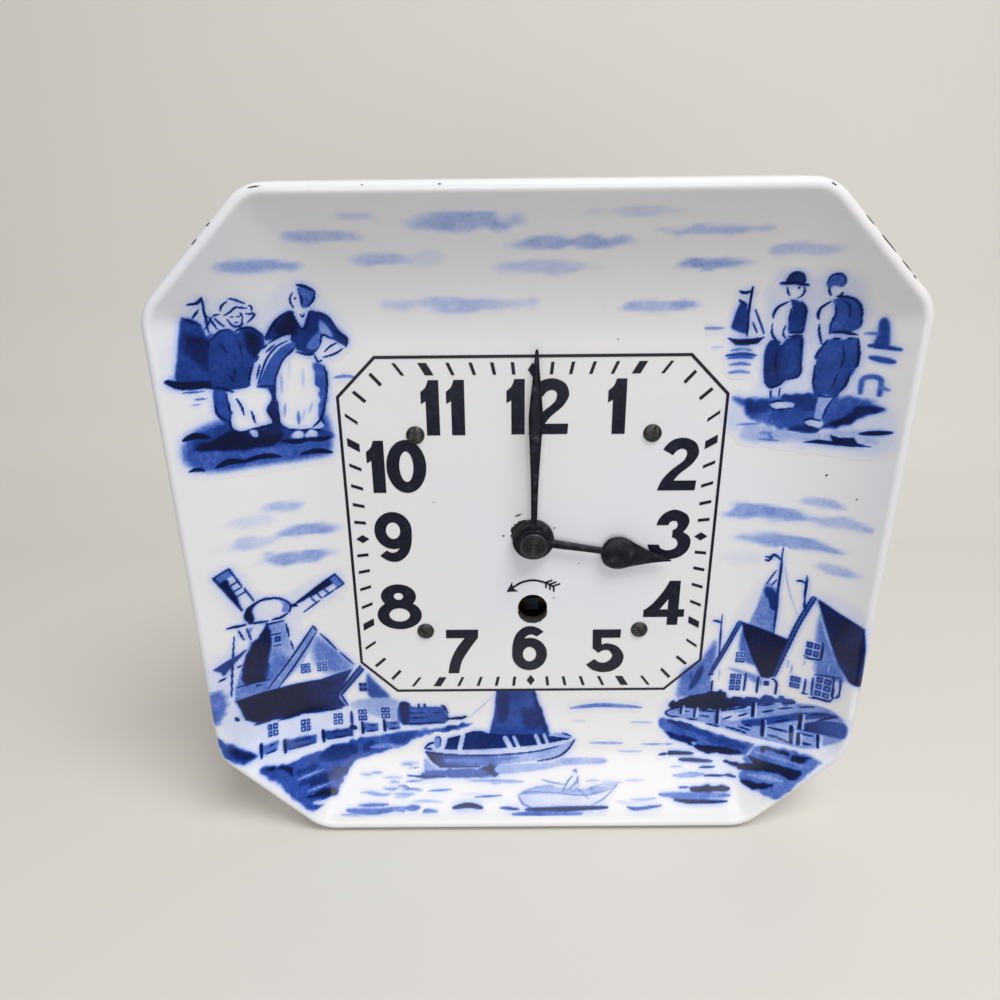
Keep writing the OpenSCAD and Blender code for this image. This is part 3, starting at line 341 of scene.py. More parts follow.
def rounded(points, closed=True, per=5):
    """A smooth line through given points."""
    p = np.array(points, float)
    n = len(p)
    out = []
    for i in range(n if closed else n - 1):
        if closed:
            a, b, c, d = p[i - 1], p[i], p[(i + 1) % n], p[(i + 2) % n]
        else:
            a, b, c, d = p[max(i - 1, 0)], p[i], p[i + 1], p[min(i + 2, n - 1)]
        for t in np.arange(per) / per:
            out.append(0.5 * (2 * b + (c - a) * t + (2 * a - 5 * b + 4 * c - d) * t * t
                              + (3 * b - a - 3 * c + d) * t ** 3))
    if not closed:
        out.append(p[-1])
    return np.array(out)


def depth_in(loop, x, y):
    """Distance from a closed outline, positive inside it."""
    nearest = np.full(x.shape, 1e9)
    inside = np.zeros(x.shape, bool)
    for (ax, ay), (bx, by) in zip(loop, np.roll(loop, -1, 0)):
        ex, ey = bx - ax, by - ay
        t = np.clip(((x - ax) * ex + (y - ay) * ey) / (ex * ex + ey * ey + 1e-12), 0, 1)
        nearest = np.minimum(nearest, (x - ax - t * ex) ** 2 + (y - ay - t * ey) ** 2)
        if ay != by:
            crosses = ((ay > y) != (by > y)) & (x < (bx - ax) * (y - ay) / (by - ay) + ax)
            inside ^= crosses
    return np.where(inside, 1, -1) * np.sqrt(nearest)


def edge_mask(d, soft):
    """A smooth step from 0 outside an edge to 1 inside it."""
    t = np.clip((d + soft) / (2 * soft), 0, 1)
    return t * t * (3 - 2 * t)


def stencil(patch, points, tone, soft=0.2, fade=None, ragged=0.0, sprayed=False, curved=True):
    """Fills an outline with a tone. fade is (x, y, x2, y2, tone2), sprayed only ever darkens."""
    loop = rounded(points) if curved else np.array(points, float)
    rows, columns = near_part(patch, loop, soft + ragged + 0.6)
    x, y = patch["x"][rows, columns], patch["y"][rows, columns]
    d = depth_in(loop, x, y)
    if ragged:
        d = d + ragged * (2 * mottle(x, y, 1.6) - 1)
    if fade:
        fx, fy, gx, gy, other = fade
        along = ((x - fx) * (gx - fx) + (y - fy) * (gy - fy)) / ((gx - fx) ** 2 + (gy - fy) ** 2)
        tone = tone + (other - tone) * np.clip(along, 0, 1)
    under = patch["ink"][rows, columns]
    mask = edge_mask(d, soft)
    laid = np.maximum(under, tone * mask) if sprayed else under + (tone - under) * mask
    patch["ink"][rows, columns] = laid


def brush(patch, points, width, tone=0.97, taper=0.6, soft=0.13, curved=True):
    """One brush stroke, widest in its middle."""
    line = rounded(points, closed=False) if curved and len(points) > 2 else np.array(points, float)
    rows, columns = near_part(patch, line, width + 0.6)
    x, y = patch["x"][rows, columns], patch["y"][rows, columns]
    places = np.linspace(-1, 1, len(line))
    if len(line) == 2:
        line = line[0] + (line[1] - line[0]) * np.linspace(0, 1, 5)[:, None]
        places = np.linspace(-1, 1, 5)
    widths = width / 2 * (1 - taper * places ** 2)
    d = np.full(x.shape, -1e9)
    for (ax, ay), (bx, by), wa, wb in zip(line[:-1], line[1:], widths[:-1], widths[1:]):
        ex, ey = bx - ax, by - ay
        t = np.clip(((x - ax) * ex + (y - ay) * ey) / (ex * ex + ey * ey + 1e-12), 0, 1)
        d = np.maximum(d, wa + (wb - wa) * t - np.hypot(x - ax - t * ex, y - ay - t * ey))
    under = patch["ink"][rows, columns]
    patch["ink"][rows, columns] = under + (tone - under) * edge_mask(d, soft)


def box(x0, x1, y0, y1):
    """Corners of an upright rectangle."""
    return [(x0, y0), (x1, y0), (x1, y1), (x0, y1)]


def panes(patch, x, y, wide, high, columns=2, rows=2, tone=0.95, glass=0.5, edged=False):
    """A small window: panes of washed-in glass, each with a dark edge, between white bars."""
    stencil(patch, box(x - wide / 2, x + wide / 2, y - high / 2, y + high / 2), 0.04, curved=False)
    for i in range(columns):
        for j in range(rows):
            px = x + (i + 0.5 - columns / 2) * wide / columns
            py = y + (j + 0.5 - rows / 2) * high / rows
            for share, strength in ((0.41, tone), (0.2, glass)):
                hw, hh = wide / columns * share, high / rows * share
                stencil(patch, box(px - hw, px + hw, py - hh, py + hh), strength, soft=0.16, curved=False)
    if edged:
        right, foot = x + wide / 2 + 0.3, y - high / 2 - 0.3
        edge = [(x - wide / 2 - 0.2, foot), (right, foot), (right, y + high / 2)]
        brush(patch, edge, 0.4, 1.0, taper=0.1)


def ripples(patch, seed, water, count, tones, lengths):
    """Short level brush strokes scattered over the water."""
    chance = np.random.default_rng(seed)
    for _ in range(count):
        x, y = chance.uniform(water[0], water[1]), chance.uniform(water[2], water[3])
        half = chance.uniform(*lengths) / 2
        bend = chance.uniform(-0.5, 0.5)
        brush(patch, [(x - half, y), (x, y + bend), (x + half, y + chance.uniform(-0.4, 0.4))],
              chance.uniform(0.5, 1.1), chance.uniform(*tones), taper=0.9, soft=0.35)


def fire(name, patch, lift=0.07, bleed=0.5):
    """Lets the colour bleed a little, then lays the patch on the dish without its bare parts."""
    x, y, tones = patch["x"], patch["y"], patch["ink"]
    bleed_mm, faintest = 0.9, 0.012
    reach = max(round(bleed_mm / patch["step"]), 1)
    spread = np.pad(tones, 2 * reach)
    for axis in (0, 1, 0, 1):
        spread = sum(np.roll(spread, k, axis) for k in range(-reach, reach + 1)) / (2 * reach + 1)
    tones = np.maximum(tones, bleed * spread[2 * reach:-2 * reach, 2 * reach:-2 * reach])
    kept = (tones > faintest) & (inset(x, y) > 0.5)
    grown = kept.copy()
    for axis, way in ((0, 1), (0, -1), (1, 1), (1, -1)):
        grown |= np.roll(kept, way, axis)
    grown &= inset(x, y) > 0.3
    bm = bmesh.new()
    bmesh.ops.create_grid(bm, x_segments=x.shape[1] - 1, y_segments=x.shape[0] - 1, size=1)
    high = surface(x, y) + lift
    layer = bm.verts.layers.float.new("ink")
    bare = []
    for v in bm.verts:
        j = round((v.co.x + 1) / 2 * (x.shape[1] - 1))
        i = round((v.co.y + 1) / 2 * (x.shape[0] - 1))
        if not grown[i, j]:
            bare.append(v)
            continue
        v.co = (x[i, j], y[i, j], high[i, j])
        v[layer] = tones[i, j]
    bmesh.ops.delete(bm, geom=bare, context="VERTS")
    bmesh.ops.delete(bm, geom=[v for v in bm.verts if not v.link_faces], context="VERTS")
    return finish_piece(name, bm, white_enamel, "case", sharp=180)


# Each cloud is its middle, its half sizes and its tone
sky = skin(-98, 99, -12, 98, 0.9)
cloud_places = [(-45.5, 95.6, 5, 0.8, 0.15), (-20, 93.9, 16, 2.3, 0.34), (-14, 95.7, 5, 1.2, 0.32),
                (-57, 90.4, 10, 1.5, 0.27), (13, 88.3, 16, 1.7, 0.34), (27, 96.2, 13, 1.1, 0.14),
                (47, 91.2, 14, 1.3, 0.27), (47.5, 82.4, 13, 1.6, 0.44), (70, 86.2, 10, 1.7, 0.22),
                (-74, 83.2, 10, 1.7, 0.36), (-42, 84.4, 9, 1.8, 0.27), (-30, 84.4, 7, 1.8, 0.08),
                (3, 81.8, 13, 1.6, 0.2), (-19, 71.8, 19, 2, 0.27), (34, 70.9, 13, 1.5, 0.28),
                (40, 71, 5, 1.3, 0.36), (-75.5, 12, 7.5, 1.9, 0.28), (-86, 8.6, 8, 1.8, 0.1),
                (-69.5, 4, 10.5, 1.9, 0.42), (-86.5, 1.8, 7.5, 1.9, 0.2), (-74.5, -5.3, 11, 2.4, 0.44),
                (85.5, 13, 7, 1.4, 0.27), (70, 8.2, 12, 2.6, 0.46), (91, 7.6, 8, 1.7, 0.26),
                (79, -0.8, 14.5, 2.2, 0.46), (92.5, -7.6, 6.5, 1.7, 0.28), (66, -7.6, 6, 2.2, 0.06)]
for cx, cy, wide, high, tone in cloud_places:
    dx, dy = (sky["x"] - cx) / wide, (sky["y"] - cy) / (high * 1.12)
    bank = 1 - np.hypot(dx, dy) + 0.7 * (mottle(sky["x"], sky["y"] * 2.0, 4.6) - 0.5)
    sky["ink"] = np.maximum(sky["ink"], 0.68 * tone * edge_mask(bank - 0.1, 0.3))
fire("sprayed_clouds", sky, lift=0.05, bleed=0)

# Upper left: two women in aprons and winged caps, one with a bundle, and a moored boat.
# Under-glaze cobalt: a sprayed ground first, then stencilled shapes, then lines by brush.
pair = skin(-102, -50, 22.4, 80, 0.32)
for cloud, tone, soft in (
        ([(-99, 60), (-94, 72), (-84, 74), (-78, 70), (-66, 79), (-58, 74), (-51, 62), (-58, 57), (-58, 44),
          (-58, 30), (-80, 24), (-99, 28), (-97, 40), (-90, 46), (-90, 52), (-97, 52)], 0.05, 2.4),
        ([(-98.6, 35.6), (-95, 39.6), (-90, 41), (-86, 40), (-74, 38), (-62, 41), (-59.6, 37), (-60, 30),
          (-62, 27.6), (-72, 26.2), (-86, 25.6), (-94, 26.2), (-98.6, 30)], 0.6, 1.6),
        ([(-97, 34), (-95, 38), (-88, 40), (-74, 37.6), (-61, 36), (-60.4, 32.4), (-76, 31), (-92, 31.6)],
         0.78, 1.0)):
    stencil(pair, cloud, tone, soft=soft, sprayed=True)
stencil(pair, [(-96, 34.6), (-92, 36), (-86, 37.2), (-76, 36.6), (-74, 34.8), (-76, 32), (-82, 31),
               (-90, 32), (-96.4, 33)], 1.0, soft=0.6, ragged=0.6)
for line, width in (
        ([(-98.4, 37), (-95.6, 37.6), (-92.4, 36.4)], 1.9),
        ([(-92.2, 27.2), (-88.6, 28.3), (-84, 27.5)], 1.8),
        ([(-86, 27.6), (-79.4, 28.6), (-75, 27.9)], 1.7),
        ([(-98.2, 27.6), (-96.4, 27.8), (-94.8, 27)], 1.2),
        ([(-69.4, 28.3), (-64.4, 29.2), (-60, 28.6)], 1.6),
        ([(-74.6, 32.9), (-70, 32.3), (-65.4, 33.2)], 1.6), ([(-67, 32.7), (-63, 32.7), (-60, 33.4)], 1.4)):
    brush(pair, line, width, 1.0, taper=0.75)
# The moored boat: sail, hull, mast and rigging
stencil(pair, [(-94.2, 70.2), (-90.4, 68.4), (-89.4, 60), (-89.6, 50.6), (-94, 52), (-97.8, 53.6),
               (-96.8, 60), (-95.6, 66)], 0.78, soft=0.5)
stencil(pair, [(-94.6, 66), (-91.6, 64.6), (-88.4, 65), (-87.4, 58), (-88.6, 53.6), (-92, 57), (-94.4, 61)],
        0.95, soft=1.1, ragged=0.8)
brush(pair, [(-99.6, 54), (-96.6, 52.2), (-91, 51.6), (-86.6, 49.4)], 2.3, 1.0, taper=0.5)
for line, width, tone in (
        ([(-88.3, 75.7), (-88.8, 70), (-88.9, 66)], 0.7, 1),
        ([(-92, 74), (-89.8, 74.2), (-88.4, 75.6)], 0.8, 1), ([(-91.8, 70.2), (-89.9, 72.3)], 0.6, 1),
        ([(-94.2, 70.4), (-90.3, 68)], 0.7, 1), ([(-88.2, 70.4), (-86.7, 66.6)], 0.65, 1),
        ([(-89.6, 66.8), (-87.2, 70.2)], 0.5, 1), ([(-96.8, 50.3), (-92, 49.8)], 0.6, 0.6),
        ([(-94.6, 47.9), (-91.8, 47.7)], 0.7, 0.4), ([(-95.4, 46.5), (-93.4, 46.3)], 0.6, 0.35),
        ([(-57.6, 51.2), (-54.6, 51.7), (-51, 51.3)], 1, 0.4)):
    brush(pair, line, width, tone)
# The left woman: skirt, bodice, apron, then her face and cap by brush
stencil(pair, [(-89.7, 51), (-86.4, 50.4), (-86.2, 44), (-86.4, 37.6), (-88.4, 39.6), (-90.3, 44)], 0.72,
        soft=0.3)
stencil(pair, [(-77, 50), (-73.6, 50.6), (-73.8, 42), (-74, 35.6), (-77.6, 36), (-77.6, 43)], 0.93,
        soft=0.3)
stencil(pair, [(-88.8, 63.6), (-86, 65.8), (-83.7, 66.4), (-82.2, 65.2), (-80.6, 66.3), (-78.2, 66.1),
               (-75.6, 63.8), (-76.2, 60), (-78.6, 55), (-80.6, 50.2), (-84.8, 48.8), (-89.9, 51),
               (-90.2, 57)], 0.84, soft=0.28, fade=(-90, 52, -78, 64, 0.74))
stencil(pair, [(-80, 65.6), (-77, 64.6), (-76, 61), (-78.6, 57.6), (-80.6, 61)], 0.97, soft=0.8)
stencil(pair, [(-87, 48.7), (-83, 49.3), (-77.4, 49.6), (-75.6, 46), (-77.4, 42.4), (-76, 38.3),
               (-79.4, 37.8), (-86, 36.9), (-87, 39), (-86.4, 43)], 0.0, soft=0.22)
for line, width in (
        ([(-84.7, 46.6), (-83.8, 44.4), (-83.3, 41.6)], 0.6), ([(-81.4, 42.6), (-80.7, 38.8)], 0.6),
        ([(-87, 48.4), (-86.8, 44), (-86.3, 42.4)], 0.6),
        ([(-86.9, 41.8), (-87, 38.2), (-85.2, 36.7), (-82, 36.5)], 0.75),
        ([(-82, 37.2), (-78.6, 37.5), (-76, 38.3)], 0.75),
        ([(-77.3, 42.4), (-76.2, 40.6), (-76, 38.2)], 0.6),
        ([(-90, 50.4), (-87.6, 50), (-85.2, 48.6)], 0.8),
        ([(-90.2, 45.4), (-89.6, 42.4), (-87.6, 40.4)], 0.7),
        ([(-88.8, 63.6), (-86.4, 65.9), (-83.8, 66.4)], 0.6),
        ([(-82.4, 65.6), (-80.7, 66.4), (-78, 66.2), (-75.4, 63.6)], 0.75),
        ([(-86.8, 62.6), (-85.2, 59.6)], 0.5), ([(-82, 63), (-81.7, 57.4)], 0.45),
        ([(-84, 55.4), (-84.6, 52.4)], 0.5), ([(-86, 54), (-84.4, 51.4)], 0.5)):
    brush(pair, line, width, 1.0)
stencil(pair, [(-83.9, 69.6), (-83.2, 71), (-81.6, 72.2), (-80.2, 71.2), (-79.9, 69.2), (-80.6, 67.3),
               (-82, 66.9), (-83.2, 67.8)], 0.0, soft=0.2)
for line in (
        [(-84.9, 71.6), (-84.3, 73), (-82.7, 74.2)], [(-82.3, 74.9), (-80.6, 74.4), (-78.6, 73.2)],
        [(-84.3, 70.3), (-82.6, 71.2), (-81.2, 72.3), (-79.8, 72.2), (-78.4, 72)],
        [(-77.9, 72.8), (-77.1, 72.2), (-77.3, 71.2)], [(-77.4, 70.7), (-76.9, 69.8), (-79, 67.9)],
        [(-79, 70.4), (-77, 70.3)], [(-86.9, 70.5), (-85.3, 70.8)],
        [(-86.8, 69.8), (-85.8, 68.2), (-84.8, 67.1)],
        [(-83.8, 69.2), (-83, 67.5), (-81.8, 66.9), (-80.5, 67.5), (-80, 69.4)],
        [(-79.9, 69.6), (-80.2, 70.8)]):
    brush(pair, line, 0.58, 1.0)
for line in ([(-82.9, 69.7), (-82.3, 69.8)], [(-81.3, 69.8), (-80.7, 69.7)], [(-82, 68.1), (-81.4, 68.1)]):
    brush(pair, line, 0.42, 0.95, taper=0.2)
stencil(pair, [(-82.5, 36.7), (-80.7, 36.7), (-80.5, 34.8), (-81.8, 35)], 0.0, soft=0.25)
# The right woman: sleeves, bodice, the arm over her bundle, apron and cap
stencil(pair, [(-75.3, 63), (-73, 67), (-70, 69.7), (-66.7, 70.5), (-65, 66), (-62.6, 70.3), (-59.6, 69.7),
               (-56.4, 66.8), (-53.4, 63), (-52.8, 60.9), (-54.4, 60.6), (-57.6, 62.4), (-59.6, 63.2),
               (-60.4, 60.8), (-61.8, 58.7), (-64.4, 58.3), (-67, 59.4), (-68.6, 62.6), (-70, 63.8),
               (-73, 62.8)], 0.86, soft=0.26)
stencil(pair, [(-72.6, 66), (-69.6, 69.2), (-66.8, 70), (-65.8, 66), (-68, 62.8), (-71, 63.6)], 0.98,
        soft=0.7)
stencil(pair, [(-64.4, 60.4), (-61.6, 63.8), (-60, 65), (-60.2, 61.6), (-62, 59.4)], 0.5, soft=0.5)
stencil(pair, [(-60, 67.8), (-58.4, 66.6), (-56.6, 63.4), (-58.4, 62.9), (-60.2, 64.6)], 0.36, soft=0.45)
stencil(pair, [(-66.5, 70), (-62.9, 70.4), (-64, 67.4), (-65, 65.6), (-65.8, 67)], 0.0, soft=0.2)
stencil(pair, [(-67.7, 61.7), (-70.8, 60.8), (-74.2, 57.8), (-76.6, 54), (-78.6, 49.5), (-74.5, 49.2),
               (-73.3, 53), (-71, 56.9), (-67.7, 60)], 0.6, soft=0.25, fade=(-69, 60, -77, 51, 0.7))
stencil(pair, [(-68.5, 64), (-72.8, 62.8), (-76.8, 59.8), (-79.4, 55.4), (-80.9, 50), (-79, 49.7),
               (-77.4, 53.8), (-75.2, 57.8), (-72.4, 60.6), (-69, 62.2)], 0.0, soft=0.2)
for line in (
        [(-68.6, 64.1), (-71, 63.6), (-74.6, 61.7)], [(-76.3, 60.2), (-75, 61.4)],
        [(-77.6, 58.3), (-78.6, 56.6)], [(-79.3, 55.8), (-80.5, 53), (-81, 50)],
        [(-69.2, 62.3), (-72.6, 60.6), (-75.4, 57.6), (-77.4, 53.6), (-79, 49.6)],
        [(-75.6, 59.2), (-73, 61.2)], [(-77.6, 55.8), (-78.9, 51.8)],
        [(-67.8, 60), (-71, 57), (-73.4, 52.8), (-74.4, 49.6)],
        [(-79, 49.4), (-76.6, 49.5), (-74.4, 49.3)]):
    brush(pair, line, 0.55, 1.0)
stencil(pair, [(-67.8, 59.4), (-64, 58), (-60.8, 56), (-59.9, 53), (-60.4, 46), (-61.4, 40), (-62, 36.6),
               (-66, 35.9), (-71, 36), (-74.1, 38.4), (-74.3, 45), (-73.6, 51.6), (-71.4, 56.6)], 0.0,
        soft=0.22)
stencil(pair, [(-63, 55.6), (-60, 54.8), (-59.5, 49), (-60.6, 41), (-61.6, 37.4), (-63, 40), (-62, 46),
               (-63.4, 51)], 0.62, soft=0.6, ragged=0.7)
for line, width, tone in (
        ([(-72.2, 53), (-72.7, 47)], 1, 0.25), ([(-69.6, 57), (-70.2, 52)], 0.8, 0.12),
        ([(-66, 54), (-66.6, 49)], 0.9, 0.15), ([(-68.7, 41.4), (-68.9, 37.6)], 1.1, 0.5),
        ([(-72.1, 44), (-72.7, 40)], 0.8, 0.35), ([(-64.4, 44), (-65.6, 41)], 0.9, 0.25),
        ([(-66.6, 42), (-68, 38.6)], 0.7, 0.2)):
    brush(pair, line, width, tone, soft=0.4)
for line, width in (
        ([(-68, 59.5), (-71.4, 56.6), (-73.4, 52.4)], 0.5),
        ([(-74, 45.2), (-74.2, 38.4), (-71.8, 36.2)], 0.6), ([(-72, 36.1), (-68.4, 35.7), (-65, 36)], 0.75),
        ([(-65.4, 35.7), (-62, 35.5)], 0.6), ([(-60.1, 54.8), (-59.5, 51), (-60.3, 45)], 0.7),
        ([(-60.6, 45.4), (-61.4, 41.4), (-62.8, 38.6), (-64.9, 36.6)], 0.7),
        ([(-62.4, 39.8), (-61.5, 37.2)], 0.6)):
    brush(pair, line, width, 1.0)
stencil(pair, [(-59.6, 61.8), (-57.8, 62.6), (-55, 61.2), (-53.7, 60), (-57.6, 57.7), (-60.4, 56.8),
               (-62.3, 57.8), (-60.8, 60)], 0.0, soft=0.2)
for line, width in (
        ([(-60, 57.2), (-56.8, 58.1), (-54.4, 59.5)], 0.6),
        ([(-59.6, 58.7), (-57.6, 60.4), (-55.8, 61.2)], 0.55),
        ([(-62.5, 58.2), (-61.7, 56.1), (-60.5, 56.3)], 0.6),
        ([(-60.2, 70), (-57.6, 68.6), (-55.6, 65.6)], 0.8),
        ([(-56.4, 64.9), (-53, 62.6), (-53.4, 60.2)], 0.85),
        ([(-75.3, 63), (-72.4, 67.2), (-69.6, 69.7)], 0.7),
        ([(-67.4, 59), (-64.4, 58), (-62.6, 58.2)], 0.7),
        ([(-66.9, 69.8), (-65.3, 65.6), (-63.4, 66.4), (-62.6, 69.8)], 0.6),
        ([(-60.4, 61), (-59.6, 63.6), (-57.2, 62.5)], 0.6),
        ([(-65, 69.7), (-64.3, 68.8), (-63.8, 69.8)], 0.45)):
    brush(pair, line, width, 1.0)
stencil(pair, [(-64.6, 77), (-61.6, 76.6), (-60.2, 75.4), (-61.2, 72.6), (-64, 71.2), (-64.4, 74)], 0.55,
        soft=0.25)
stencil(pair, [(-67, 75.6), (-65.4, 76.4), (-64.6, 75), (-64.4, 72), (-65.6, 70.6), (-66.8, 72)], 0.0,
        soft=0.2)
for line, width in (
        ([(-64.7, 77.7), (-62.6, 77.2), (-60.2, 75.9)], 0.9),
        ([(-60.2, 75.7), (-60.8, 73.6), (-62.8, 71.5)], 0.6),
        ([(-66, 75.8), (-67, 74), (-66.9, 72.6), (-66.3, 71.2)], 0.5),
        ([(-64.4, 75.6), (-63.9, 73.6), (-64.3, 72.2)], 0.65)):
    brush(pair, line, width, 1.0)
brush(pair, [(-65.9, 74), (-65.4, 74.1)], 0.42, 0.95, taper=0.2)
# Her clogs
for cx in (-69.6, -65.6):
    stencil(pair, [(cx - 1.8, 34.4), (cx - 0.4, 35.6), (cx + 1.7, 35.2), (cx + 1.2, 33.7), (cx - 1, 33.5)],
            0.02, soft=0.3, ragged=0.3)
fire("painted_women", pair)

# Upper right: two fishermen in wide breeches and clogs, talking by the shore, with sails and
# a low coast behind. Sprayed, stencilled and brushed in under-glaze cobalt as the women are.
men = skin(47.6, 101, 27.6, 81.4, 0.32)
for cloud, tone, soft in (
        ([(64, 77), (68, 81), (74, 79), (78, 81), (84, 79), (90, 70), (91, 54), (98, 44), (98, 31),
          (78, 29.4), (58, 34), (57, 45), (64, 46), (63, 60)], 0.09, 2.2),
        ([(57.6, 44.4), (64, 44), (70, 44.6), (78, 45.4), (86, 46), (90, 46.4), (97, 44), (92, 40),
          (86, 36.4), (78, 34.4), (70, 35.4), (63, 38), (61, 41)], 0.62, 1.1),
        ([(62, 36), (68, 36.6), (78, 35), (92, 37), (97, 34), (92, 31.6), (76, 31), (62, 31.4)], 0.24,
         1.6)):
    stencil(men, cloud, tone, soft=soft, sprayed=True, ragged=0.5)
for points, tone, soft in (
        ([(61.4, 43.4), (68.4, 43.2), (68, 40.4), (63, 39.8)], 0.86, 0.8),
        ([(72, 45.2), (80.4, 45.3), (80, 41), (75, 41.6)], 0.84, 0.5),
        ([(83.4, 36.6), (87.6, 39.8), (90.8, 43.6), (96.4, 44), (93, 41), (88, 38)], 0.97, 0.6),
        ([(74, 35), (79, 36.6), (82.4, 35.4), (78, 34.4)], 0.9, 0.5),
        ([(70, 37.6), (77, 38.6), (77, 41), (70, 40.4)], 0.7, 0.8)):
    stencil(men, points, tone, soft=soft, ragged=0.5)
stencil(men, [(78.6, 31.3), (82.4, 32.6), (86.2, 32.5), (85.2, 34.4), (87.6, 33.8), (91, 34.4), (92, 32.9),
              (95, 32.4), (90, 31.5), (84, 31.4)], 1.0, soft=0.2, curved=False)
for line, width, tone in (
        ([(92.2, 35.8), (95.6, 36.7), (98.8, 37.6)], 1.4, 1), ([(59.6, 36.1), (66.4, 36.4)], 0.8, 0.4),
        ([(66, 33.4), (70, 33.8)], 1, 0.4), ([(66.4, 31.6), (72, 31.4)], 0.9, 0.4),
        ([(69, 33.4), (70.4, 31.8)], 1, 0.45), ([(47, 64.4), (53, 64.4)], 1, 0.36),
        ([(50, 59), (53.4, 59)], 0.7, 0.16)):
    brush(men, line, width, tone, soft=0.25)
# A fishing boat at the left, its sail and its reflection
stencil(men, [(54.2, 61.7), (57, 61.2), (60, 61.3), (64.6, 61.9), (63, 60), (60, 59.5), (56.8, 59.6)], 1.0,
        soft=0.2, curved=False)
stencil(men, [(56.7, 71.6), (58.6, 70.6), (59.4, 67), (59.5, 62.9), (55.4, 64.2), (55.2, 65.8)], 0.8,
        soft=0.45)
for line, width in (
        ([(59.3, 75.8), (59.3, 70), (59.7, 62.2)], 0.7), ([(56, 74.7), (57.4, 74.2), (59.1, 74.7)], 0.85),
        ([(56.2, 72.2), (58.4, 70.9)], 0.7), ([(61, 69.5), (62.6, 66.4), (64.3, 62.8)], 0.55),
        ([(60.8, 66), (62.4, 63)], 0.5)):
    brush(men, line, width, 1.0, taper=0.4)
for y, half, tone in ((58, 3, 0.45), (56.6, 4.2, 0.8), (55.8, 3.6, 0.6), (53.9, 3, 0.5), (51.6, 3, 0.42)):
    brush(men, [(58.6 - half, y), (58.8, y + 0.4), (58.6 + half, y)], 1.1, tone, soft=0.3)
# A far sail at the right and the coast under it
stencil(men, [(92.1, 67.6), (93, 68.7), (94.2, 67.6), (94.9, 64), (94.9, 60.8), (91.8, 60.6), (92.2, 64)],
        0.74, soft=0.6)
for line, width, tone in (
        ([(89.6, 64), (92.4, 64.2)], 1, 0.5), ([(91, 60.8), (97.4, 60.6)], 1.3, 0.8),
        ([(91.8, 57.6), (96.4, 57.1)], 1.8, 0.68),
        ([(90.7, 47.6), (90.8, 51.4), (93, 52.4), (94.7, 51.6), (94.9, 47.6)], 1.5, 0.6),
        ([(94.8, 49.7), (96.6, 49.3)], 1.1, 0.45)):
    brush(men, line, width, tone, taper=0.3, soft=0.45)
# The left fisherman: jacket, breeches, stockings, cap and face
stencil(men, [(69.7, 72.7), (71.4, 72.3), (73.6, 70.9), (74.4, 68), (74.6, 63.2), (71, 63.3), (70.3, 66),
              (70.6, 70)], 0.84, soft=0.22)
stencil(men, [(66.2, 60.7), (67.8, 61), (69.4, 59.6), (71, 61.6), (74.6, 62.3), (75.5, 57), (75.5, 52.4),
              (74.6, 50.4), (72, 49.5), (70, 47.9), (67.4, 47.5), (66, 49.4), (65.4, 53), (65.2, 58)], 0.86,
        soft=0.26)
stencil(men, [(70.4, 60), (73.8, 60.6), (74.2, 54), (72.6, 51), (70, 52)], 0.74, soft=0.9)
for line, width in (
        ([(69.3, 71.9), (67.1, 70.5), (66.2, 69), (66.1, 67.2)], 0.8),
        ([(66.1, 65.6), (66.4, 63), (67.6, 61.2), (69, 60.2)], 0.65), ([(70.4, 70), (70.2, 66.4)], 0.5),
        ([(69.7, 65.2), (69.4, 63), (70.4, 61.4)], 0.5), ([(70.8, 63.2), (74.4, 63.6)], 0.65),
        ([(71, 62.1), (74.5, 62.5)], 0.6), ([(72.6, 72), (74.3, 69.4), (74.5, 63.6)], 0.6),
        ([(68.6, 59.8), (68.5, 55), (69, 51)], 0.4),
        ([(75, 55.8), (75.5, 53), (75, 50.8), (72.6, 49.8)], 0.7),
        ([(66, 49.2), (67.8, 47.4), (70, 48), (71.4, 49.2)], 0.7), ([(68.2, 46.6), (68.4, 44.3)], 0.55),
        ([(70.6, 47.2), (70.6, 44.8)], 0.5), ([(74.6, 62), (74.8, 57.6)], 0.6)):
    brush(men, line, width, 1.0)
stencil(men, [(67.8, 77), (68.1, 79), (69.8, 79.9), (71.6, 79.2), (72.3, 77)], 0.88, soft=0.2)
brush(men, [(66.4, 76.9), (69.6, 77), (73.2, 76.6)], 0.9, 1.0, taper=0.3)
stencil(men, [(68.8, 76.3), (72.2, 76.2), (72.6, 74.4), (71.8, 72.8), (69.6, 72.9)], 0.0, soft=0.2)
for line in (
        [(68.2, 76), (68.6, 74.6), (69.3, 73.6)], [(72.3, 76.2), (72.7, 74.9), (72.3, 73.7), (71.4, 73)],
        [(70.9, 75.8), (71.4, 75.8)], [(67.9, 77.4), (68.4, 79.4), (70, 80), (71.7, 79.2), (72.3, 77.4)]):
    brush(men, line, 0.5, 1.0)
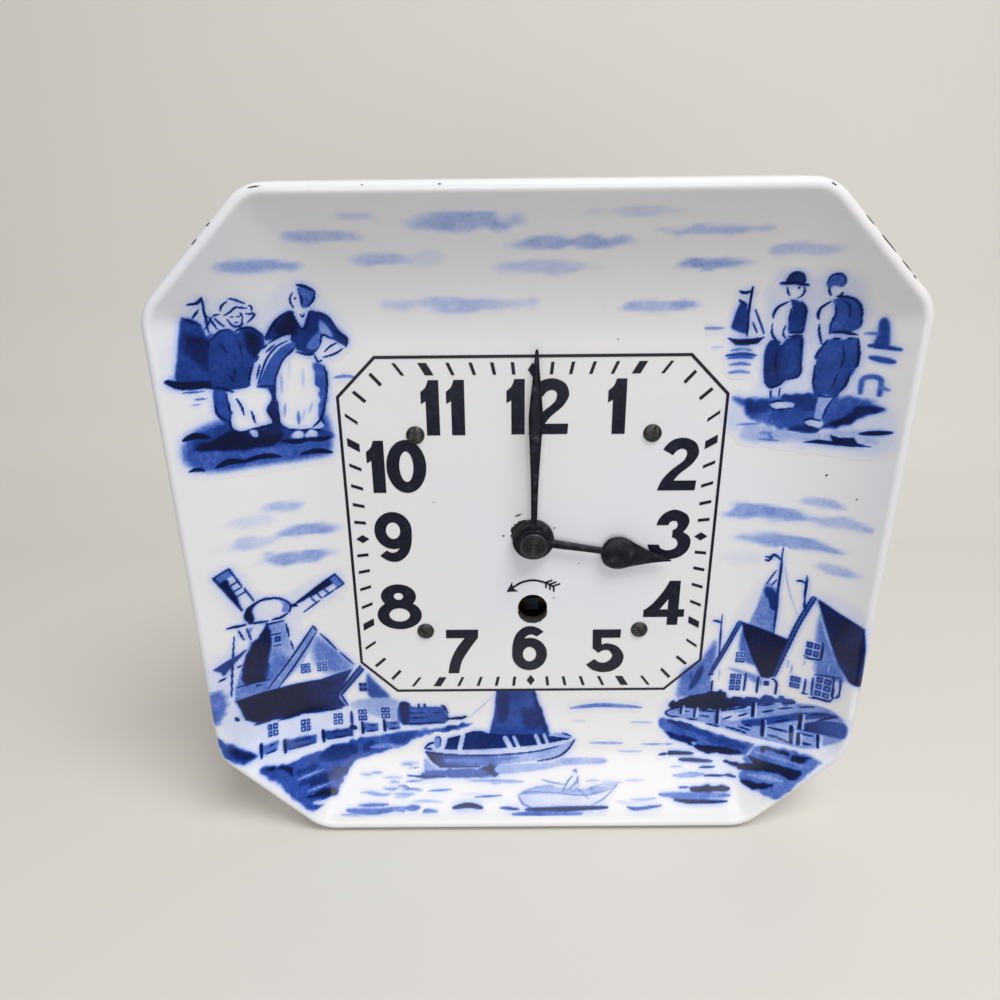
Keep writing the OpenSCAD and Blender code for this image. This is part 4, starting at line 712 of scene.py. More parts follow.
# The right fisherman: jacket, breeches, legs, cap and face
stencil(men, [(80.1, 72.5), (82, 73.7), (85, 73.3), (87, 71.6), (88, 68.6), (88.2, 65.6), (86, 64.2),
              (82, 63.3), (80.9, 64.2), (81.5, 68), (81, 71.2)], 0.64, soft=0.26,
        fade=(81, 70, 88, 66, 0.7))
stencil(men, [(80.7, 60.5), (82, 61.9), (85, 61.9), (88.1, 62.6), (89.1, 58), (88.7, 54), (87.2, 50),
              (86.1, 47), (85, 45.4), (80.2, 45.3), (79.6, 48), (79.1, 54), (79.3, 58)], 0.66, soft=0.28,
        fade=(79, 60, 87, 50, 0.74))
for line, width in (
        ([(80, 72.9), (82.4, 73.8), (85.4, 73), (87.4, 70.4), (88.2, 66.2)], 0.7),
        ([(81, 71.5), (81.6, 69), (81.1, 66), (81.4, 63.2)], 0.55),
        ([(82.4, 72.8), (84.4, 71.2), (85.1, 68.2)], 0.5),
        ([(79.7, 72.4), (77.7, 70.4), (77.4, 68.4), (77.9, 67.2)], 0.75),
        ([(78.2, 65.9), (78.8, 63.2), (79.9, 60.2)], 0.6), ([(81.1, 61.6), (80.2, 59.8)], 0.6),
        ([(82, 63.8), (85, 63.9), (87.8, 63.4)], 0.9), ([(82.4, 62), (84.2, 62.1)], 0.6),
        ([(85.6, 62.2), (87.1, 62.5)], 0.5), ([(80.4, 60.2), (79.1, 57.4), (78.9, 56)], 0.75),
        ([(79, 54.2), (79.1, 50), (79.7, 47)], 0.65), ([(84.9, 60.6), (85.7, 57), (85.2, 54)], 0.5),
        ([(84.8, 52.4), (84.4, 50), (83.8, 48)], 0.45), ([(88.2, 62.4), (89, 58), (89, 54.6)], 0.75),
        ([(87.6, 52.2), (87.1, 49.4), (86, 47.4)], 0.65)):
    brush(men, line, width, 1.0)
stencil(men, [(81.2, 45.3), (84.6, 45.3), (83.3, 41.6), (82.7, 38.6), (80.8, 38.5)], 0.3, soft=0.3)
brush(men, [(84.7, 45.2), (83.4, 42), (82.8, 39)], 0.5)
brush(men, [(80.2, 45.5), (84.8, 45.4)], 0.45)
stencil(men, [(77.4, 77.3), (78, 79.4), (79.8, 80), (81.5, 78.7), (81.7, 76.9), (80.6, 76.2), (78.3, 76.1)],
        0.6, soft=0.22)
stencil(men, [(79, 76.4), (81.3, 76.1), (81.8, 73.8), (79.6, 73.1)], 0.0, soft=0.2)
for line, width in (
        ([(77.5, 77.2), (78, 79.3), (79.8, 80), (81.4, 78.8), (81.7, 77)], 0.5),
        ([(78.3, 76.2), (78.7, 74.9), (79.3, 74)], 0.6), ([(81.7, 75), (81.6, 74), (80.7, 73.8)], 0.7)):
    brush(men, line, width, 1.0)
# Their clogs
for points in (
        [(68, 42.4), (70, 43.3), (72.4, 43.3), (75, 42.8), (74.6, 41.5), (72, 40.9), (69.4, 40.9)],
        [(77.9, 37.5), (79.4, 38.5), (82.6, 38.3), (83.1, 36.9), (81.8, 36), (79.4, 36.3)]):
    stencil(men, points, 0.0, soft=0.2)
    brush(men, points[:3], 0.65, 1.0)
    brush(men, points[4:] + points[:1], 0.5, 1.0)
fire("painted_fishermen", men)

# Lower left: a smock mill with lattice sails behind thatched cottages, a fence and the canal.
# Stencilled in flat cobalt tones under the glaze, with brushed outlines and window panes.
mill = skin(-103.4, -17.6, -99.6, -4, 0.36)
for points, tone, soft in (
        ([(-103, -47), (-99, -47.6), (-98.6, -53), (-102, -59), (-105, -56)], 0.5, 1.4),
        ([(-103, -64), (-100, -67), (-96, -72), (-91.6, -75), (-97, -75.6), (-102, -72)], 0.7, 0.9),
        ([(-98, -8), (-92, -4.6), (-86, -16), (-78, -18), (-62, -11), (-62, -20), (-76, -30), (-58, -46),
          (-50, -60), (-60, -74), (-95, -77), (-102, -52), (-102, -36), (-92, -30)], 0.08, 2.2)):
    stencil(mill, points, tone, soft=soft, sprayed=True, ragged=0.5)
stencil(mill, [(-100, -68.6), (-97, -71.4), (-92.4, -74.6), (-96, -74.8), (-99.6, -72)], 0.95, soft=0.7)
# The mill: body, shaded side, gallery, then its cap and three sails
stencil(mill, [(-91, -27.6), (-80, -27.4), (-79.2, -36), (-76.4, -52), (-97, -53), (-95.8, -47),
               (-93.4, -40), (-90.6, -33)], 0.44, soft=0.5, fade=(-88, -40, -79, -41, 0.3), curved=False)
stencil(mill, [(-85.7, -27.2), (-84.4, -29.6), (-84.8, -35), (-86, -41), (-87.2, -47.4), (-91.6, -47.8),
               (-94, -46), (-92.8, -40), (-90.6, -34.6), (-88, -31.6)], 1.0, soft=0.35, ragged=0.4)
stencil(mill, [(-84, -38), (-80, -42), (-79.4, -48), (-87, -47.6), (-85.6, -42)], 0.5, soft=1.4)
stencil(mill, [(-88.6, -27.2), (-85.4, -27.4), (-88.4, -31.8), (-90.6, -32)], 0.12, soft=0.4)
panes(mill, -82.7, -34, 2.2, 2.6, columns=1, rows=1, glass=0.6)
for line, width in (
        ([(-84.4, -31.9), (-81.8, -32)], 0.6), ([(-84, -36.2), (-82, -36.2)], 0.5),
        ([(-79.7, -28.8), (-79.2, -33.8)], 0.55), ([(-79, -35.4), (-78.3, -39.6)], 0.5),
        ([(-90.8, -27.6), (-90, -32)], 0.5), ([(-96, -47.6), (-86.4, -48.4)], 0.7),
        ([(-90.8, -49.4), (-89, -49.4)], 0.6), ([(-94.3, -29), (-96, -40), (-97.4, -50.4)], 0.55),
        ([(-95.9, -25.4), (-93.4, -25.8), (-90.8, -26)], 0.85), ([(-93, -27.4), (-91.9, -31.4)], 0.6),
        ([(-94, -36.3), (-91.7, -35.1)], 0.7), ([(-94.8, -40.4), (-93.6, -40.2)], 0.6)):
    brush(mill, line, width, 1.0)
stencil(mill, [(-90.9, -23.8), (-89.8, -20.8), (-86.8, -19.1), (-84.4, -18.6), (-80.4, -19.4),
               (-77.8, -22.2), (-78.2, -24.7), (-81, -26.1), (-88, -25.9)], 0.07, soft=0.25)
stencil(mill, [(-91, -23.6), (-89.8, -20.8), (-86.6, -19.2), (-88.6, -21.4), (-88.4, -25), (-89.8, -25.6)],
        1.0, soft=0.35)
stencil(mill, [(-80.6, -19.8), (-78, -22.4), (-78.6, -24.8), (-80.4, -24), (-79.8, -22)], 0.42, soft=0.4)
for line, width in (
        ([(-90.8, -23.8), (-89.8, -20.8), (-86.8, -19.1), (-84.4, -18.6), (-80.4, -19.4), (-77.7, -22.2),
          (-78.3, -24.8)], 0.75), ([(-90, -25.8), (-87.6, -26.4), (-84.8, -26.6)], 0.75),
        ([(-83.5, -26.5), (-81, -26.2), (-79, -25.2)], 0.75), ([(-84.9, -27.8), (-80.4, -27.5)], 0.6),
        ([(-77.8, -22.3), (-75.8, -22.8)], 0.9)):
    brush(mill, line, width, 1.0, taper=0.35)
for root, tip, side, tone in (
        ((-91.3, -20.6), (-97, -7.2), 1, 1.0), ((-76.9, -22.6), (-63, -12.4), 1, 0.97),
        ((-92, -35.4), (-100.6, -38.2), -1, 0.8)):
    root, tip = np.array(root), np.array(tip)
    reach = np.linalg.norm(tip - root)
    along = (tip - root) / reach
    across = side * np.array([along[1], -along[0]])
    low, cloth = (0.35, 2.3) if reach > 10 else (0.55, 3.9)
    stencil(mill, [root, root + along * reach * low + across * cloth * 0.6,
                   tip - along * 1.2 + across * cloth, tip], tone, soft=0.3, ragged=0.3, curved=False)
    if reach < 10:
        continue
    stencil(mill, [tip - along * 2.6, tip, tip + across * 4.2, tip + across * 4.2 - along * 2.6], 0.5,
            soft=0.35, curved=False)
    brush(mill, [root, tip], 0.7, 1.0, taper=0.2)
    brush(mill, [tip, tip + across * 4.4, tip + across * 4.2 - along * 3.4], 0.5, 1.0, taper=0.1,
          curved=False)
    for start, end in ((0.04, 0.42), (0.52, 0.76)):
        brush(mill,
              [root + along * reach * start + across * 4.1, root + along * reach * end + across * 4.2], 0.5,
              1.0, taper=0.3)
    for s in (0.34, 0.48, 0.64):
        brush(mill, [root + along * reach * s + across * 1.4, root + along * reach * s + across * 4], 0.5,
              0.9, taper=0.2)
brush(mill, [(-99.8, -43), (-98, -42.8)], 0.8, 0.95)
# The tall cottage: front, shading, gable edge and windows
stencil(mill, [(-71, -32.6), (-60, -46.4), (-57, -53), (-87, -53)], 0.0, soft=0.3, curved=False)
stencil(mill, [(-70.8, -35), (-65, -40.6), (-60, -46.6), (-62, -50), (-70, -49), (-73, -42)], 0.44,
        soft=2.0)
stencil(mill, [(-74, -37), (-72, -36), (-76, -44), (-84, -52), (-86, -51.6), (-80, -44)], 0.34, soft=0.9)
stencil(mill, [(-71.8, -30.8), (-70.4, -32.6), (-84.8, -52.6), (-87.8, -51.8)], 0.4, soft=0.3, curved=False)
for line, width in (
        ([(-71.6, -30.9), (-79, -41.4), (-87.4, -51.8)], 0.6),
        ([(-70.6, -33.2), (-78, -44), (-84.4, -52.4)], 0.6), ([(-71.6, -30.9), (-70.6, -32.8)], 0.6),
        ([(-69.8, -34), (-67.4, -37), (-64.9, -40.7)], 0.6), ([(-63.8, -41.8), (-59.8, -46.5)], 0.6)):
    brush(mill, line, width, 1.0)
panes(mill, -75.5, -46.9, 3.4, 4, tone=0.85, glass=0.15)
panes(mill, -70.2, -46.8, 3.4, 4, tone=0.85, glass=0.15)
# The long thatched roof and the small gable beside it
stencil(mill, [(-96.5, -52.6), (-84, -52.5), (-71, -51.9), (-66, -50.2), (-60.4, -48.6), (-65.4, -57.6),
               (-65.6, -60), (-63.6, -63.2), (-66, -63.8), (-84, -64.7), (-92, -63.7), (-94.8, -61),
               (-95.7, -56)], 1.0, soft=0.3, fade=(-78, -58, -62, -52, 0.86), curved=False)
for line, width in (
        ([(-92.8, -64.1), (-88, -64.4)], 0.7), ([(-85.8, -64.9), (-79, -64.7)], 0.6),
        ([(-77, -64.4), (-71, -64.3), (-65, -63.9)], 0.7), ([(-97.4, -58.6), (-96.6, -60.4)], 0.9)):
    brush(mill, line, width, 1.0)
stencil(mill, [(-57, -48.8), (-47.4, -60.2), (-47, -62.6), (-62.6, -62.4), (-65.2, -58.4)], 0.0, soft=0.3,
        curved=False)
stencil(mill, [(-55.6, -50.6), (-52.8, -54), (-48.4, -60), (-54, -60.6), (-56, -58)], 0.62, soft=0.9)
stencil(mill, [(-60, -61), (-47, -60.6), (-45.4, -66), (-45.6, -70), (-61, -64.6)], 0.26, soft=0.9)
stencil(mill, [(-57.6, -47.2), (-56.4, -48.6), (-64.4, -58.8), (-66, -58)], 0.66, soft=0.25, curved=False)
for line, width in (
        ([(-57.6, -47.2), (-65.9, -58)], 0.6), ([(-56.6, -48.8), (-64.6, -58.6)], 0.55),
        ([(-65, -58.6), (-63, -63)], 0.7)):
    brush(mill, line, width, 1.0, taper=0.3)
panes(mill, -57.2, -55.8, 2.9, 3.6, tone=0.97, glass=0.9)
# Windows under the thatch, and the fence along the bank
for x, y, glass in (
        (-87.5, -67.8, 0.6), (-77.2, -68.6, 0.4), (-66.6, -67.9, 0.2), (-58.2, -67, 0.4),
        (-50.3, -66.4, 0.2)):
    panes(mill, x, y, 3.2, 4.6, tone=0.97, glass=glass * 0.4)
for x0, x1, y, tone in (
        (-91.2, -86, -73.3, 0.5), (-84, -74, -73.9, 0.66), (-71.8, -61.8, -73.2, 0.76),
        (-58.6, -53, -71.7, 0.6), (-51, -45.6, -71, 0.5)):
    stencil(mill, [(x0, y - 1.6), (x1, y - 1.4), (x1, y + 1.5), (x0, y + 1.5)], tone, soft=0.55, ragged=0.3,
            curved=False)
    brush(mill, [(x0, y + 1.8), (x0 + 0.2, y - 2.2)], 1.0, 1.0, taper=0.2)
    brush(mill, [(x0 + 2.4, y + 0.5), (x1 - 1, y + 0.8)], 0.5, 1.0)
    brush(mill, [(x0 + 1.4, y - 1.6), (x1 - 0.4, y - 1.2)], 0.6, 1.0)
brush(mill, [(-62, -65.6), (-62, -70.6)], 0.8, 1.0, taper=0.2)
brush(mill, [(-62.2, -71.4), (-61, -71.8)], 1.8, 0.95, taper=0.2)
# The low shed at the right end
stencil(mill, [(-45.4, -62.5), (-42, -62.5), (-40.8, -64), (-31, -64.1), (-29.8, -66), (-29.6, -70.1),
               (-44.8, -70.7)], 0.68, soft=0.35)
stencil(mill, [(-45.2, -62.8), (-42.2, -62.8), (-42.4, -69.8), (-44.8, -70.4)], 0.95, soft=0.5)
for line, width in (
        ([(-38.9, -62.8), (-38.6, -64.6)], 0.9), ([(-36.9, -62.8), (-36.6, -64.4)], 0.9),
        ([(-43.4, -66.6), (-37, -66.4)], 0.6), ([(-42, -68.5), (-36, -68.3)], 0.6),
        ([(-34.4, -66.6), (-31.4, -66.4)], 0.5), ([(-44.4, -70.8), (-36, -70.4), (-29.8, -70.3)], 0.7),
        ([(-31, -63.7), (-30, -64.2), (-28.9, -66.9)], 0.8),
        ([(-29.6, -68.8), (-25, -68.7), (-22.4, -68)], 1.1)):
    brush(mill, line, width, 1.0)
# The canal: its bank, dark reflections and strokes of water
stencil(mill, [(-91.4, -78.9), (-84, -79.5), (-76, -78.6), (-70, -77.6), (-60, -75.8), (-50, -74.3),
               (-40, -73), (-30, -71.8), (-21, -70.3), (-21.6, -71.8), (-30, -73.8), (-38, -75.2),
               (-44, -78), (-52, -81), (-60, -83), (-63, -85), (-66, -90), (-67.4, -93), (-70, -94.2),
               (-74, -96.4), (-77, -95.4), (-84, -87)], 0.58, soft=0.6, ragged=0.5,
        fade=(-40, -76, -74, -88, 0.68))
for points, tone in (
        ([(-89.6, -79.4), (-84, -79.8), (-82.6, -80.6), (-81.6, -84.2), (-84.4, -81.4)], 1.0),
        ([(-72, -78.4), (-64, -77.2), (-60, -79.4), (-64, -82.6), (-72, -82.4)], 0.86),
        ([(-80, -87), (-74, -86), (-66, -84.8), (-62.6, -83.6), (-66, -88.4), (-74, -88.8)], 0.88),
        ([(-77, -91.6), (-69, -90.8), (-67.6, -93.4), (-72, -93.4)], 1.0),
        ([(-58, -77), (-55, -76.6), (-56, -80), (-59, -80)], 0.84),
        ([(-48, -75.2), (-40, -74), (-42, -76), (-48, -78)], 0.74),
        ([(-80, -82.4), (-74, -82.6), (-75, -84), (-80, -84)], 0.84),
        ([(-30, -72), (-22, -70.8), (-24, -71.9), (-30, -73)], 0.8)):
    stencil(mill, points, tone, soft=0.5, ragged=0.6)
for line, width, tone in (
        ([(-80, -85.5), (-72, -84.7)], 0.9, 0.35), ([(-77, -90), (-70, -89.6)], 0.9, 0.36),
        ([(-75, -94), (-72, -94.8), (-68.6, -94.4)], 1.4, 0.05),
        ([(-56, -79), (-50, -78.4), (-46, -79)], 1.6, 0.4),
        ([(-64, -97.8), (-56, -98.2), (-48, -97.8)], 1.8, 0.5), ([(-60, -96.6), (-50, -96.4)], 1.1, 0.56),
        ([(-50, -97.4), (-42, -97.8), (-33, -98.2)], 1.6, 0.45), ([(-66, -98.9), (-58, -99)], 0.7, 0.3)):
    brush(mill, line, width, tone, soft=0.35)
ripples(mill, 3, (-58, -32, -96, -84), 17, (0.2, 0.45), (3, 9))
fire("painted_mill", mill)

# Lower middle: a sailing barge under way and a pale rowing boat, with dark dashes of water.
# Stencilled hulls and sail in cobalt under the glaze, the rigging and the water by brush.
boats = skin(-44, 47, -99.6, -57.8, 0.34)
# The barge: sail, deck, hull, then gunwale, crew and rudder
stencil(boats, [(-12, -57.4), (0.8, -57.4), (2.4, -63), (4.6, -70), (6.6, -75.4), (-15, -75.6), (-13, -67)],
        0.72, soft=0.4, curved=False)
for points, tone, soft in (
        ([(-11.8, -58), (-8.4, -57.8), (-8.4, -68), (-11.6, -69.6)], 0.9, 0.8),
        ([(-3.6, -65), (1, -65.6), (3.4, -72), (-2, -73)], 0.86, 1.1),
        ([(0.6, -58), (1.4, -60.6), (5.4, -72), (4, -73), (1, -66)], 0.92, 0.4)):
    stencil(boats, points, tone, soft=soft, ragged=0.5)
brush(boats, [(-13.4, -60), (-18, -65), (-23.4, -70)], 0.5, 0.2)
stencil(boats, [(-36, -78.8), (-33, -77.2), (-28, -75.8), (-20, -74.2), (-10, -74.8), (4, -75),
                (12.8, -76.2), (8, -77.6), (-2, -79), (-16, -79.9), (-28, -80)], 0.93, soft=0.25)
stencil(boats, [(-37, -79), (-33.6, -77), (-29.4, -75.8), (-30.6, -79.8), (-34, -79.6)], 0.06, soft=0.3)
stencil(boats, [(5.6, -75.4), (9.6, -74.2), (14.6, -76.3), (9, -76.6)], 0.3, soft=0.3)
stencil(boats, [(-36.8, -80.7), (-28, -81.7), (-14, -81.9), (0, -80.9), (14.6, -76.9), (12, -80.4),
                (8, -82.6), (0, -84), (-14, -85.3), (-30, -85.5), (-33, -84)], 0.85, soft=0.3,
        fade=(-34, -83, -6, -82, 0.3))
stencil(boats, [(-30, -83), (-16, -83), (-4, -82.6), (-14, -84.2), (-28, -84.4)], 0.5, soft=0.5)
brush(boats, [(-37.4, -79.6), (-28, -80.9), (-14, -81.1), (0, -80), (9, -78.2), (14.8, -76.4)], 1.1, 0.02,
      taper=0.3)
for line, width in (
        ([(-37, -80.6), (-28, -81.7), (-14, -82), (0, -81), (9, -79.2)], 0.5),
        ([(-37.2, -79.4), (-35.6, -78), (-34, -77.6)], 0.75), ([(-36.8, -79.6), (-34.6, -79.8)], 0.6),
        ([(-24, -75), (-20, -73.9), (-16, -74)], 0.6), ([(5.8, -75.6), (9.6, -76.4), (13, -76.6)], 0.7),
        ([(-36.9, -80.8), (-33, -84.4), (-30.6, -85.6), (-18, -85.6)], 0.7),
        ([(14.8, -76.8), (12.4, -80.4), (8.4, -82.8), (2, -84)], 0.7),
        ([(10.6, -74.4), (13.6, -75.6)], 0.5), ([(-36, -81.8), (-32.6, -85)], 1.3)):
    brush(boats, line, width, 1.0)
for top, foot, width in (
        ((-23.9, -75.2), (-25.2, -80.4), 1.7), ((-9.2, -76.2), (-7.2, -79.9), 1.9),
        ((-6.2, -75.8), (-4.6, -79.4), 1.3), ((1.4, -75.4), (3, -79.2), 1.5),
        ((4.2, -75.2), (5.4, -77.9), 1.2)):
    brush(boats, [top, foot], width, 0.03, taper=0.05)
stencil(boats, [(-33.8, -76.2), (-32.4, -75.6), (-31.6, -76.4), (-31.8, -79.2), (-33.6, -79.2)], 0.42,
        soft=0.25)
brush(boats, [(-33.6, -76), (-32.4, -75.5), (-31.6, -76.6), (-31.8, -78.6)], 0.45, 0.9)
# The barge's shadow on the water
stencil(boats, [(-37.4, -83), (-35, -84.6), (-33, -86.2), (-33.8, -87.2), (-37, -87.8)], 0.34, soft=0.4)
stencil(boats, [(-35.6, -86.7), (-14, -86), (-11.6, -86.4), (-11.4, -88.2), (-20, -89.2), (-30, -88.8),
                (-38, -89)], 0.62, soft=0.5, ragged=0.4)
stencil(boats, [(-17, -85.8), (-12.2, -85.2), (-11.2, -87.6), (-14, -88.4)], 0.95, soft=0.5, ragged=0.5)
brush(boats, [(-43.4, -88.2), (-36, -88.7), (-30, -88.6)], 0.7, 0.9)
stencil(boats, [(-11.4, -85.2), (6, -84.4), (10, -83), (24.6, -83.2), (24.4, -85), (12, -85.4), (4, -86.8),
                (-11, -88)], 0.27, soft=0.5)
# The rowing boat, its rower, and dashes of water all round
stencil(boats, [(-4.6, -94), (2, -91.9), (10, -92), (18, -92.4), (29, -91.4), (24, -93.6), (8, -93.8)],
        0.26, soft=0.3)
stencil(boats, [(-4.7, -94), (-3.4, -96.4), (0, -97.4), (10, -97.4), (20, -97), (25, -95), (28.8, -91.6),
                (20, -94), (8, -94.6)], 0.16, soft=0.35, fade=(-4, -96, 16, -95, 0.05))
for line, width, tone in (
        ([(-4.8, -93.9), (0, -93.2), (8, -93.6), (18, -94.2), (26, -92.8), (29.4, -91.4)], 0.5, 0.46),
        ([(-4.8, -94.2), (-3.4, -96.4), (-0.4, -97.4)], 0.5, 0.6),
        ([(20, -97), (25, -95), (29.2, -91.6)], 0.5, 0.4), ([(24, -91.2), (29.6, -91.2)], 0.9, 0.25),
        ([(-4, -93.4), (2, -91.8), (7.6, -91.6)], 0.5, 0.4), ([(3, -91.8), (7.4, -91.8)], 1.2, 0.3),
        ([(19, -92.4), (24, -91.4)], 0.5, 0.4), ([(10.4, -93.4), (12.4, -90.2), (14.2, -88.6)], 0.6, 0.5),
        ([(12.2, -92.8), (15.2, -90.6), (15.8, -89)], 0.9, 0.35),
        ([(14.2, -87.2), (15, -87), (15.4, -87.8)], 1.0, 0.4), ([(15.8, -88.6), (16, -91.8)], 0.45, 0.45),
        ([(3.2, -89.6), (7, -90.6), (11.6, -91.2)], 0.5, 0.46), ([(15, -92), (19.6, -95.2)], 0.5, 0.46),
        ([(20, -92), (21, -93.6)], 0.4, 0.4), ([(-2.4, -97.9), (11, -97.8), (25.8, -97.5)], 1.2, 1.0),
        ([(-7, -99), (4, -98.9), (17, -99)], 1.3, 0.5),
        ([(-27.4, -97.3), (-22, -96.7), (-17.4, -97.4)], 1.4, 1.0),
        ([(-11.2, -97.4), (-4.6, -97.8)], 0.8, 0.8), ([(-44, -97.4), (-39, -97.2)], 1.7, 0.5),
        ([(-20, -94.5), (-10.6, -94.2)], 0.5, 0.7), ([(32.6, -97.4), (36, -97.9), (44.4, -97.1)], 1.0, 0.6),
        ([(13.2, -65), (24, -63.9), (37.4, -64.9)], 1.7, 0.42),
        ([(-22, -89.9), (-12, -90), (-3, -90.3)], 0.8, 0.36), ([(-36, -92.8), (-28, -92.4)], 0.8, 0.4),
        ([(-44, -90), (-38, -89.8)], 0.6, 0.4), ([(20, -78), (31.4, -78.2)], 0.9, 0.3),
        ([(30, -81), (38.4, -81)], 0.7, 0.22), ([(34, -70.6), (41.6, -70.8)], 0.7, 0.26),
        ([(14, -70), (18.4, -70)], 0.6, 0.14), ([(38, -78.6), (46, -78.6)], 0.6, 0.4),
        ([(44, -82.2), (47, -81.8)], 0.9, 1.0)):
    brush(boats, line, width, tone, soft=0.25)
ripples(boats, 5, (-40, 44, -96, -89), 12, (0.12, 0.26), (4, 11))
fire("painted_boats", boats, lift=0.1)

# Lower right: two gabled cottages with dark roofs, a ship's mast behind and a plank quay.
# Stencilled in cobalt under the glaze, with the planks, panes and gable boards by brush.
quay = skin(43.4, 103.4, -99, -3, 0.36)
for points, tone, soft in (
        ([(50.6, -50), (56, -46), (60, -38.6), (61.4, -42), (61, -50), (61, -59), (50, -61), (49.4, -56)],
         0.5, 1.5), ([(66, -30), (72, -17), (76, -14), (79, -20), (83, -34), (88, -17), (104, -25),
                      (104, -60), (92, -90), (74, -92), (50, -80), (44, -72), (46, -62), (60, -56),
                      (60, -46)], 0.06, 2.0)):
    stencil(quay, points, tone, soft=soft, sprayed=True)
brush(quay, [(57, -48.6), (55.6, -53), (53.8, -57.4)], 2.4, 0.88, taper=0.7, soft=0.5)
brush(quay, [(53.4, -51), (53.8, -54.4)], 1.1, 0.7, soft=0.4)
# The ship's mast, sail and rigging, with the roofs' finials
stencil(quay, [(74, -16), (76.4, -17.2), (77.8, -19), (78.2, -34), (70.8, -32.8), (72.4, -24)], 0.42,
        soft=0.6)
stencil(quay, [(74.2, -17.4), (77.8, -19.4), (77.9, -25.2), (76.4, -25), (75.6, -22), (74.4, -20.4)], 0.88,
        soft=0.4, ragged=0.5)
for line, width, tone in (
        ([(77.5, -3.3), (77.8, -16), (78.3, -34.4)], 0.8, 0.9),
        ([(72.8, -6.8), (74.4, -6.9), (75.4, -6), (77.4, -7.4)], 0.8, 1),
        ([(72.8, -8), (74, -8.1), (74.8, -7)], 0.6, 1), ([(76.5, -11.3), (74.3, -16.2)], 0.5, 1),
        ([(77, -14.6), (75.6, -17)], 0.45, 1), ([(79, -10), (81, -18), (85, -28)], 0.5, 0.22),
        ([(85.3, -11.5), (85.4, -18), (85.9, -24.8)], 0.6, 1),
        ([(82.4, -14.2), (83.8, -13.8), (85.3, -14.5)], 0.65, 1),
        ([(61.6, -28), (61.9, -36), (62.1, -43.8)], 0.5, 0.95),
        ([(59, -30.7), (60.4, -30.9), (61.7, -31.6)], 0.75, 0.9)):
    brush(quay, line, width, tone)
# The left cottage: front, shading and dark roof
stencil(quay, [(68.4, -33), (73.4, -44), (76.6, -51), (77.4, -59.4), (60.6, -59.4), (60.2, -51.6),
               (64, -46)], 0.0, soft=0.28, curved=False)
stencil(quay, [(68.8, -34), (71.6, -41), (74.6, -47), (70.6, -46), (68.4, -42)], 0.56, soft=1.0)
stencil(quay, [(66, -49), (76, -51.4), (76.6, -55), (71, -52)], 0.4, soft=1.0)
stencil(quay, [(68.2, -30.9), (76, -33.4), (84, -36), (82, -43), (80, -50.4), (78.8, -51.6), (76.4, -51.5),
               (72.6, -44), (69.4, -36)], 1.0, soft=0.26, curved=False)
# The right cottage: front, shading and dark roof
stencil(quay, [(88.8, -20.6), (92.4, -30), (96, -40), (100.4, -46), (103.2, -48), (103.4, -59), (81.4, -59),
               (80.8, -50.4), (84, -40), (87, -27)], 0.0, soft=0.28, curved=False)
stencil(quay, [(90, -24), (93.4, -33), (99, -45), (92, -46.4), (90.4, -39)], 0.48, soft=1.0)
stencil(quay, [(88.9, -19), (95, -22.2), (101, -24.9), (102.4, -32), (103.6, -46), (99.8, -45.2),
               (96.6, -40), (93.4, -32), (90.4, -23.6)], 0.97, soft=0.3, curved=False)
# Gable boards, then windows, doors and corner boards
for points, width in (
        ([(67.7, -31), (65, -38.6), (61.8, -46.6), (59.8, -51.7)], 1.7),
        ([(87.9, -18.8), (85, -28.4), (82.8, -38), (80.2, -50.4)], 1.6)):
    brush(quay, points, width, 0.6, taper=0.35)
    for off in (-0.62, 0.62):
        brush(quay, [(x + off * (1 - 0.12 * k), y) for k, (x, y) in enumerate(points)], 0.45, 1.0,
              taper=0.3)
brush(quay, [(59.2, -51.9), (61.2, -51.6)], 0.6, 1.0)
panes(quay, 69.1, -44.6, 3, 4.2, tone=0.9, glass=0.3)
panes(quay, 68.5, -54.5, 3.8, 6.8, rows=3, tone=0.9, glass=0.35)
panes(quay, 89.8, -37.2, 4, 5.6, tone=0.9, glass=0.55, edged=True)
panes(quay, 86.4, -51.1, 3, 4.8, tone=0.9, glass=0.5)
panes(quay, 93.9, -50.3, 4.2, 7.8, rows=3, tone=0.9, glass=0.5, edged=True)
panes(quay, 78.3, -53.6, 1.8, 2.4, columns=1, rows=1, glass=0.9)
for line, width in (
        ([(71.6, -50.8), (71.6, -57.6)], 0.55), ([(75.6, -51.7), (75.7, -57.8)], 0.7),
        ([(79.8, -51.5), (81.2, -52.7), (81.3, -57.2)], 0.75), ([(60.9, -54.3), (61, -58.6)], 0.75),
        ([(92, -34), (92.1, -39.8)], 0.5), ([(88, -41.1), (92.1, -40.4)], 0.65),
        ([(89.2, -49), (89.2, -54.2)], 0.6), ([(88.7, -54.5), (90.3, -54.4)], 0.6),
        ([(91.1, -47.6), (91.2, -54.2)], 0.5), ([(96.2, -45.8), (96.4, -52.6)], 0.55),
        ([(91, -55.5), (96.4, -54.2)], 0.6), ([(91.4, -46.3), (97.6, -44.8)], 0.5),
        ([(97.9, -45.4), (98, -51.4), (97, -52.7)], 0.5)):
    brush(quay, line, width, 1.0, taper=0.25)
for x, high, low in (
        (85, -44, -49), (83.8, -43, -46), (88.2, -41.6, -44), (63, -49, -54), (91.2, -42, -44.6),
        (94.6, -41, -44)):
    brush(quay, [(x, high), (x - 0.1, low)], 0.5, 0.28)
